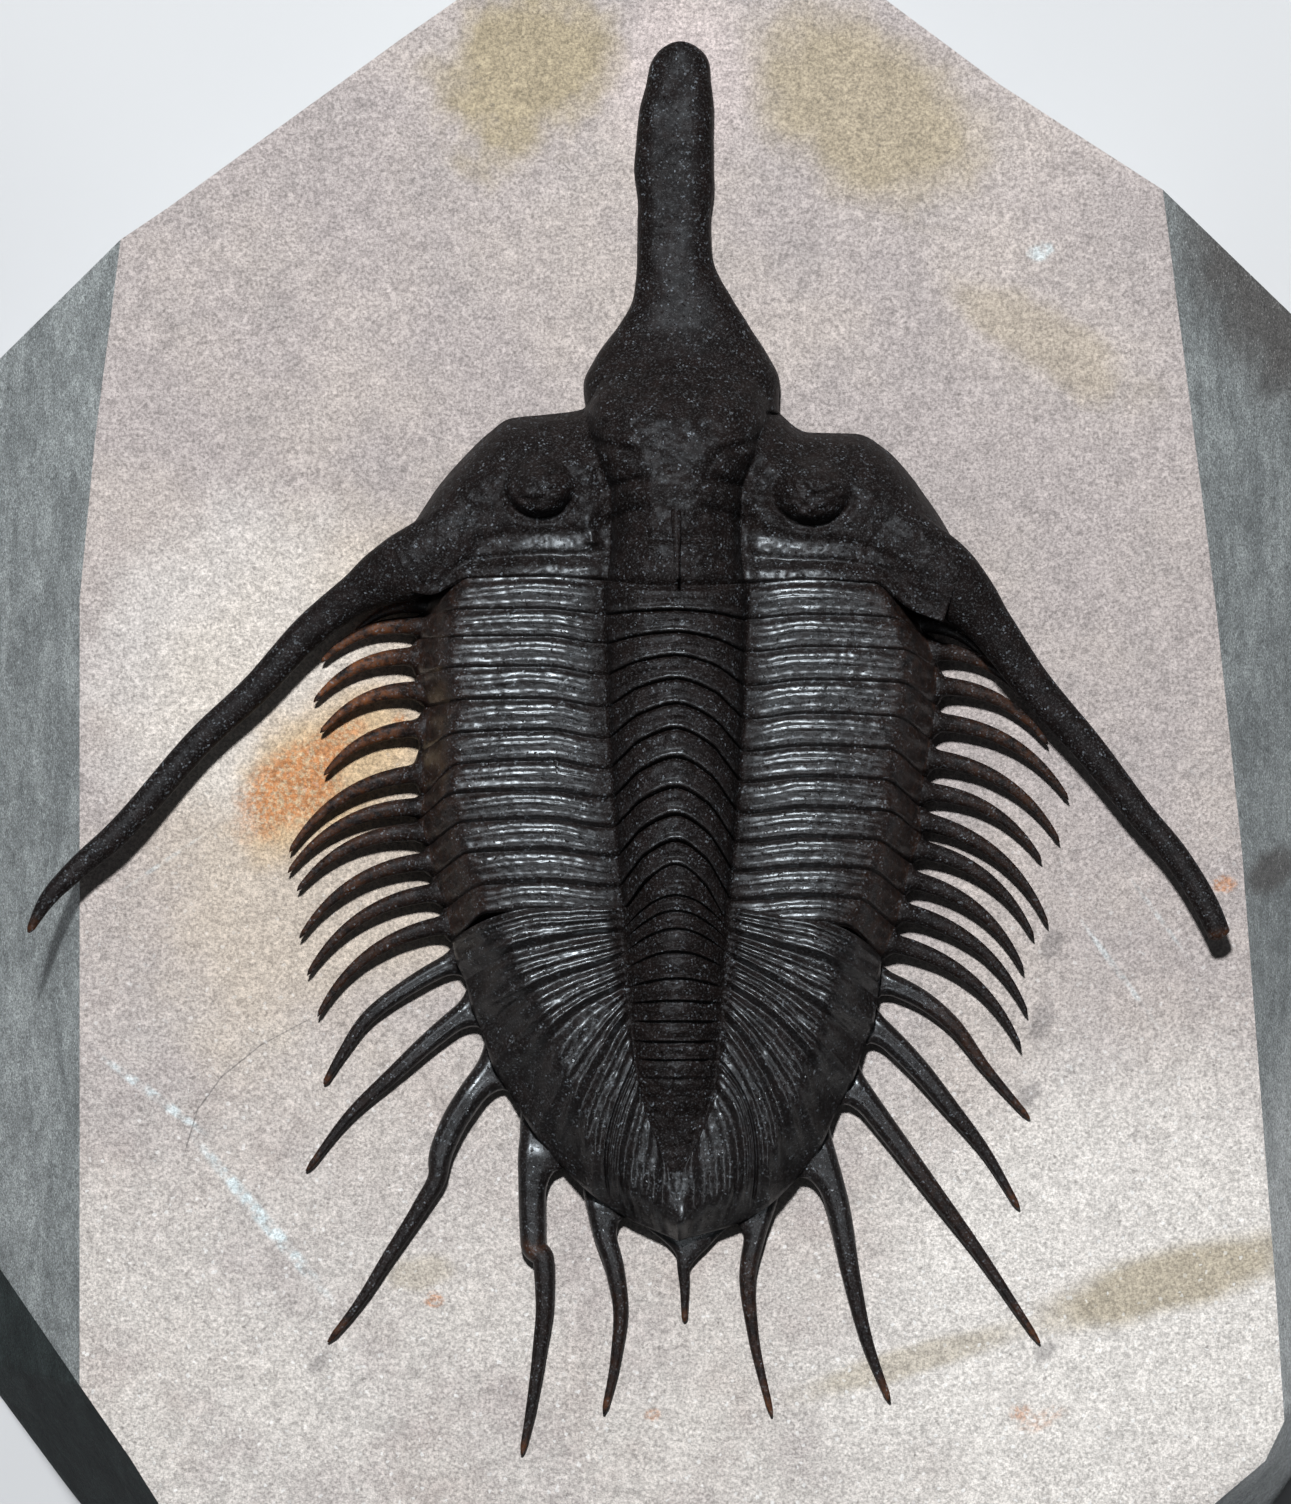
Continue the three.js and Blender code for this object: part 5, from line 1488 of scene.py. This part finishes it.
@dataclass(frozen=True)
class Studio:
    """A pale floor, soft lights and the camera, straight above the slab.

    The key lamp throws the shadows. The gleams are lamps that are seen only in gloss, each a name, its
    direction in plan and its share of their power.
    """

    frame_height: float = PHOTO_ROWS * MM_A_PIXEL
    aim: tuple[float, float] = (-0.35, 0.62)
    distance: float = 800.0
    sensor: float = 24.0
    seen_from: float = 0.01
    seen_to: float = 10.0
    floor_colour: Colour = (0.50, 0.51, 0.52, 1)
    floor_shade: Colour = (0.46, 0.47, 0.485, 1)
    floor_roughness: float = 0.9
    floor_gloss: float = 0.5
    floor_reach: float = 3.0
    key_place: tuple[float, float, float] = (-0.06, 0.40, 0.85)
    key_size: float = 0.07
    key_power: float = 13.8
    key_colour: tuple[float, float, float] = (0.98, 0.99, 1.0)
    side_reach: float = 0.42
    side_lift: float = 0.86
    side_size: float = 0.25
    side_power: float = 3.0
    sky: Colour = (0.95, 0.97, 1.0, 1)
    sky_low: float = 0.10
    sky_high: float = 0.02
    sky_turns: tuple[float, float] = (0.35, 0.95)
    gleams: tuple[tuple[str, float, float, float], ...] = (
        ("left", -1, 0.25, 0.4), ("right", 1, 0.25, 0.3), ("rear", 0, -1, 0.55),
    )

    def floor(self) -> None:
        g = Graph("studio_floor")
        tone = g.mix(g.window(g.noise(90, 2.0), 0.3, 0.7), self.floor_colour, self.floor_shade)
        g.dress(tone, self.floor_roughness, self.floor_gloss)
        mesh = bpy.data.meshes.new("studio_floor")
        a = self.floor_reach
        mesh.from_pydata([(-a, -a, 0), (a, -a, 0), (a, a, 0), (-a, a, 0)], [], [(0, 1, 2, 3)])
        mesh.materials.append(g.material)
        floor = bpy.data.objects.new("studio_floor", mesh)
        bpy.context.scene.collection.objects.link(floor)

    @staticmethod
    def lamp(
        name: str, place: Sequence[float], size: float, power: float, colour: Sequence[float] = (1, 1, 1)
    ) -> bpy.types.Object:
        """Hangs a square lamp that faces the slab."""
        light = bpy.data.lights.new(name, "AREA")
        light.size, light.energy, light.color = size, power, colour
        lamp = bpy.data.objects.new(name, light)
        lamp.location = place
        aim = np.array((0, 0, SLAB_TOP * MM)) - np.array(place)
        pitch = math.atan2(math.hypot(aim[0], aim[1]), -aim[2])
        lamp.rotation_euler = (pitch, 0, math.atan2(aim[1], aim[0]) - math.pi / 2)
        bpy.context.scene.collection.objects.link(lamp)
        return lamp

    def camera(self) -> None:
        """Sets the camera, which looks straight down with the head at the top of the frame."""
        lens = bpy.data.cameras.new("camera")
        lens.sensor_fit = "VERTICAL"
        lens.sensor_height = self.sensor
        lens.lens = self.sensor * self.distance / self.frame_height
        lens.clip_start, lens.clip_end = self.seen_from, self.seen_to
        camera = bpy.data.objects.new("camera", lens)
        camera.location = (self.aim[0] * MM, self.aim[1] * MM, (SLAB_TOP + self.distance) * MM)
        bpy.context.scene.collection.objects.link(camera)
        bpy.context.scene.camera = camera

    def surroundings(self) -> None:
        """Makes the room's own light, dim overhead and paler at the sides."""
        world = bpy.data.worlds.new("studio")
        world.use_nodes = True
        tree = world.node_tree
        background = tree.nodes["Background"]
        background.inputs[0].default_value = self.sky
        direction = tree.nodes.new("ShaderNodeTexCoord")
        split = tree.nodes.new("ShaderNodeSeparateXYZ")
        fall = tree.nodes.new("ShaderNodeMapRange")
        fall.interpolation_type = "SMOOTHSTEP"
        tree.links.new(direction.outputs["Generated"], split.inputs[0])
        tree.links.new(split.outputs["Z"], fall.inputs["Value"])
        ends = (*self.sky_turns, self.sky_low, self.sky_high)
        for title, value in zip(("From Min", "From Max", "To Min", "To Max"), ends):
            fall.inputs[title].default_value = value
        tree.links.new(fall.outputs[0], background.inputs[1])
        bpy.context.scene.world = world

    def build(self) -> None:
        """Sets up the whole studio."""
        self.floor()
        self.camera()
        self.lamp("key", self.key_place, self.key_size, self.key_power, self.key_colour)
        for name, x, y, share in self.gleams:
            place = (x * self.side_reach, y * self.side_reach, self.side_lift)
            gleam = self.lamp(name, place, self.side_size, self.side_power * share, self.key_colour)
            gleam.visible_diffuse = False
        self.surroundings()
        bpy.context.scene.view_settings.view_transform = "Standard"


SPINE_TIPS_LEFT: Pairs = (
    (-23.0, 9.9), (-25.6, 7.6), (-26.2, 4.5), (-25.7, 2.1), (-25.4, -1.2), (-28.1, -7.2),
    (-28.2, -8.8), (-27.5, -10.2), (-27.3, -13.9), (-26.7, -16.8), (-25.9, -20.0),
)
SPINE_TIPS_RIGHT: Pairs = (
    (26.3, 7.6), (28.9, 5.0), (31.0, 1.2), (32.6, -3.1), (31.9, -6.4), (30.5, -7.9),
    (31.0, -12.9), (29.9, -13.9), (29.1, -16.5), (29.4, -19.8), (28.9, -22.5),
)
BROWN_SPINES: tuple[float, ...] = (0.4, 0.65, 0.85, 0.85, 0.7, 0.4, 0.3, 0.2, 0.2, 0.15, 0.15)


def settle(piece: Piece, node: str) -> None:
    """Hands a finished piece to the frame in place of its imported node."""
    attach(piece, "root")
    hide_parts(node)
    LOG.info("%s: %d faces", piece.name, len(piece.data.polygons))


def main() -> None:
    """Builds the slab and the fossil in order, then the studio."""
    logging.basicConfig(level=logging.INFO, format="%(name)s %(message)s")
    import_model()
    shell = [ShellFinish().make()]
    back = Back()
    # A copy of the sawn stone painted near black as shade, for the slab's corner that faces away from the
    # key lamp.
    shaded_corner_stone = SawnStone(
        "shaded_corner_limestone", body=(0.010, 0.016, 0.016, 1), light=(0.026, 0.036, 0.036, 1),
        crystal_share=0.05, gloss=0.1, dusk_patches=(), pale_patches=())
    stone = [BrushedStone().make(), SawnStone().make(), shaded_corner_stone.make()]
    settle(Slab().build(stone), "matrix")
    settle(HeadShield(back).build(shell), "cephalon")
    for index in range(back.segment_count):
        tips = SPINE_TIPS_LEFT[index], SPINE_TIPS_RIGHT[index]
        segment = ThoraxSegment(back, index, *tips, BROWN_SPINES[index])
        settle(segment.build(shell), segment.name)
    settle(TailShield(back).build(shell), "pygidium")
    Studio().build()


if __name__ == "__main__":
    main()
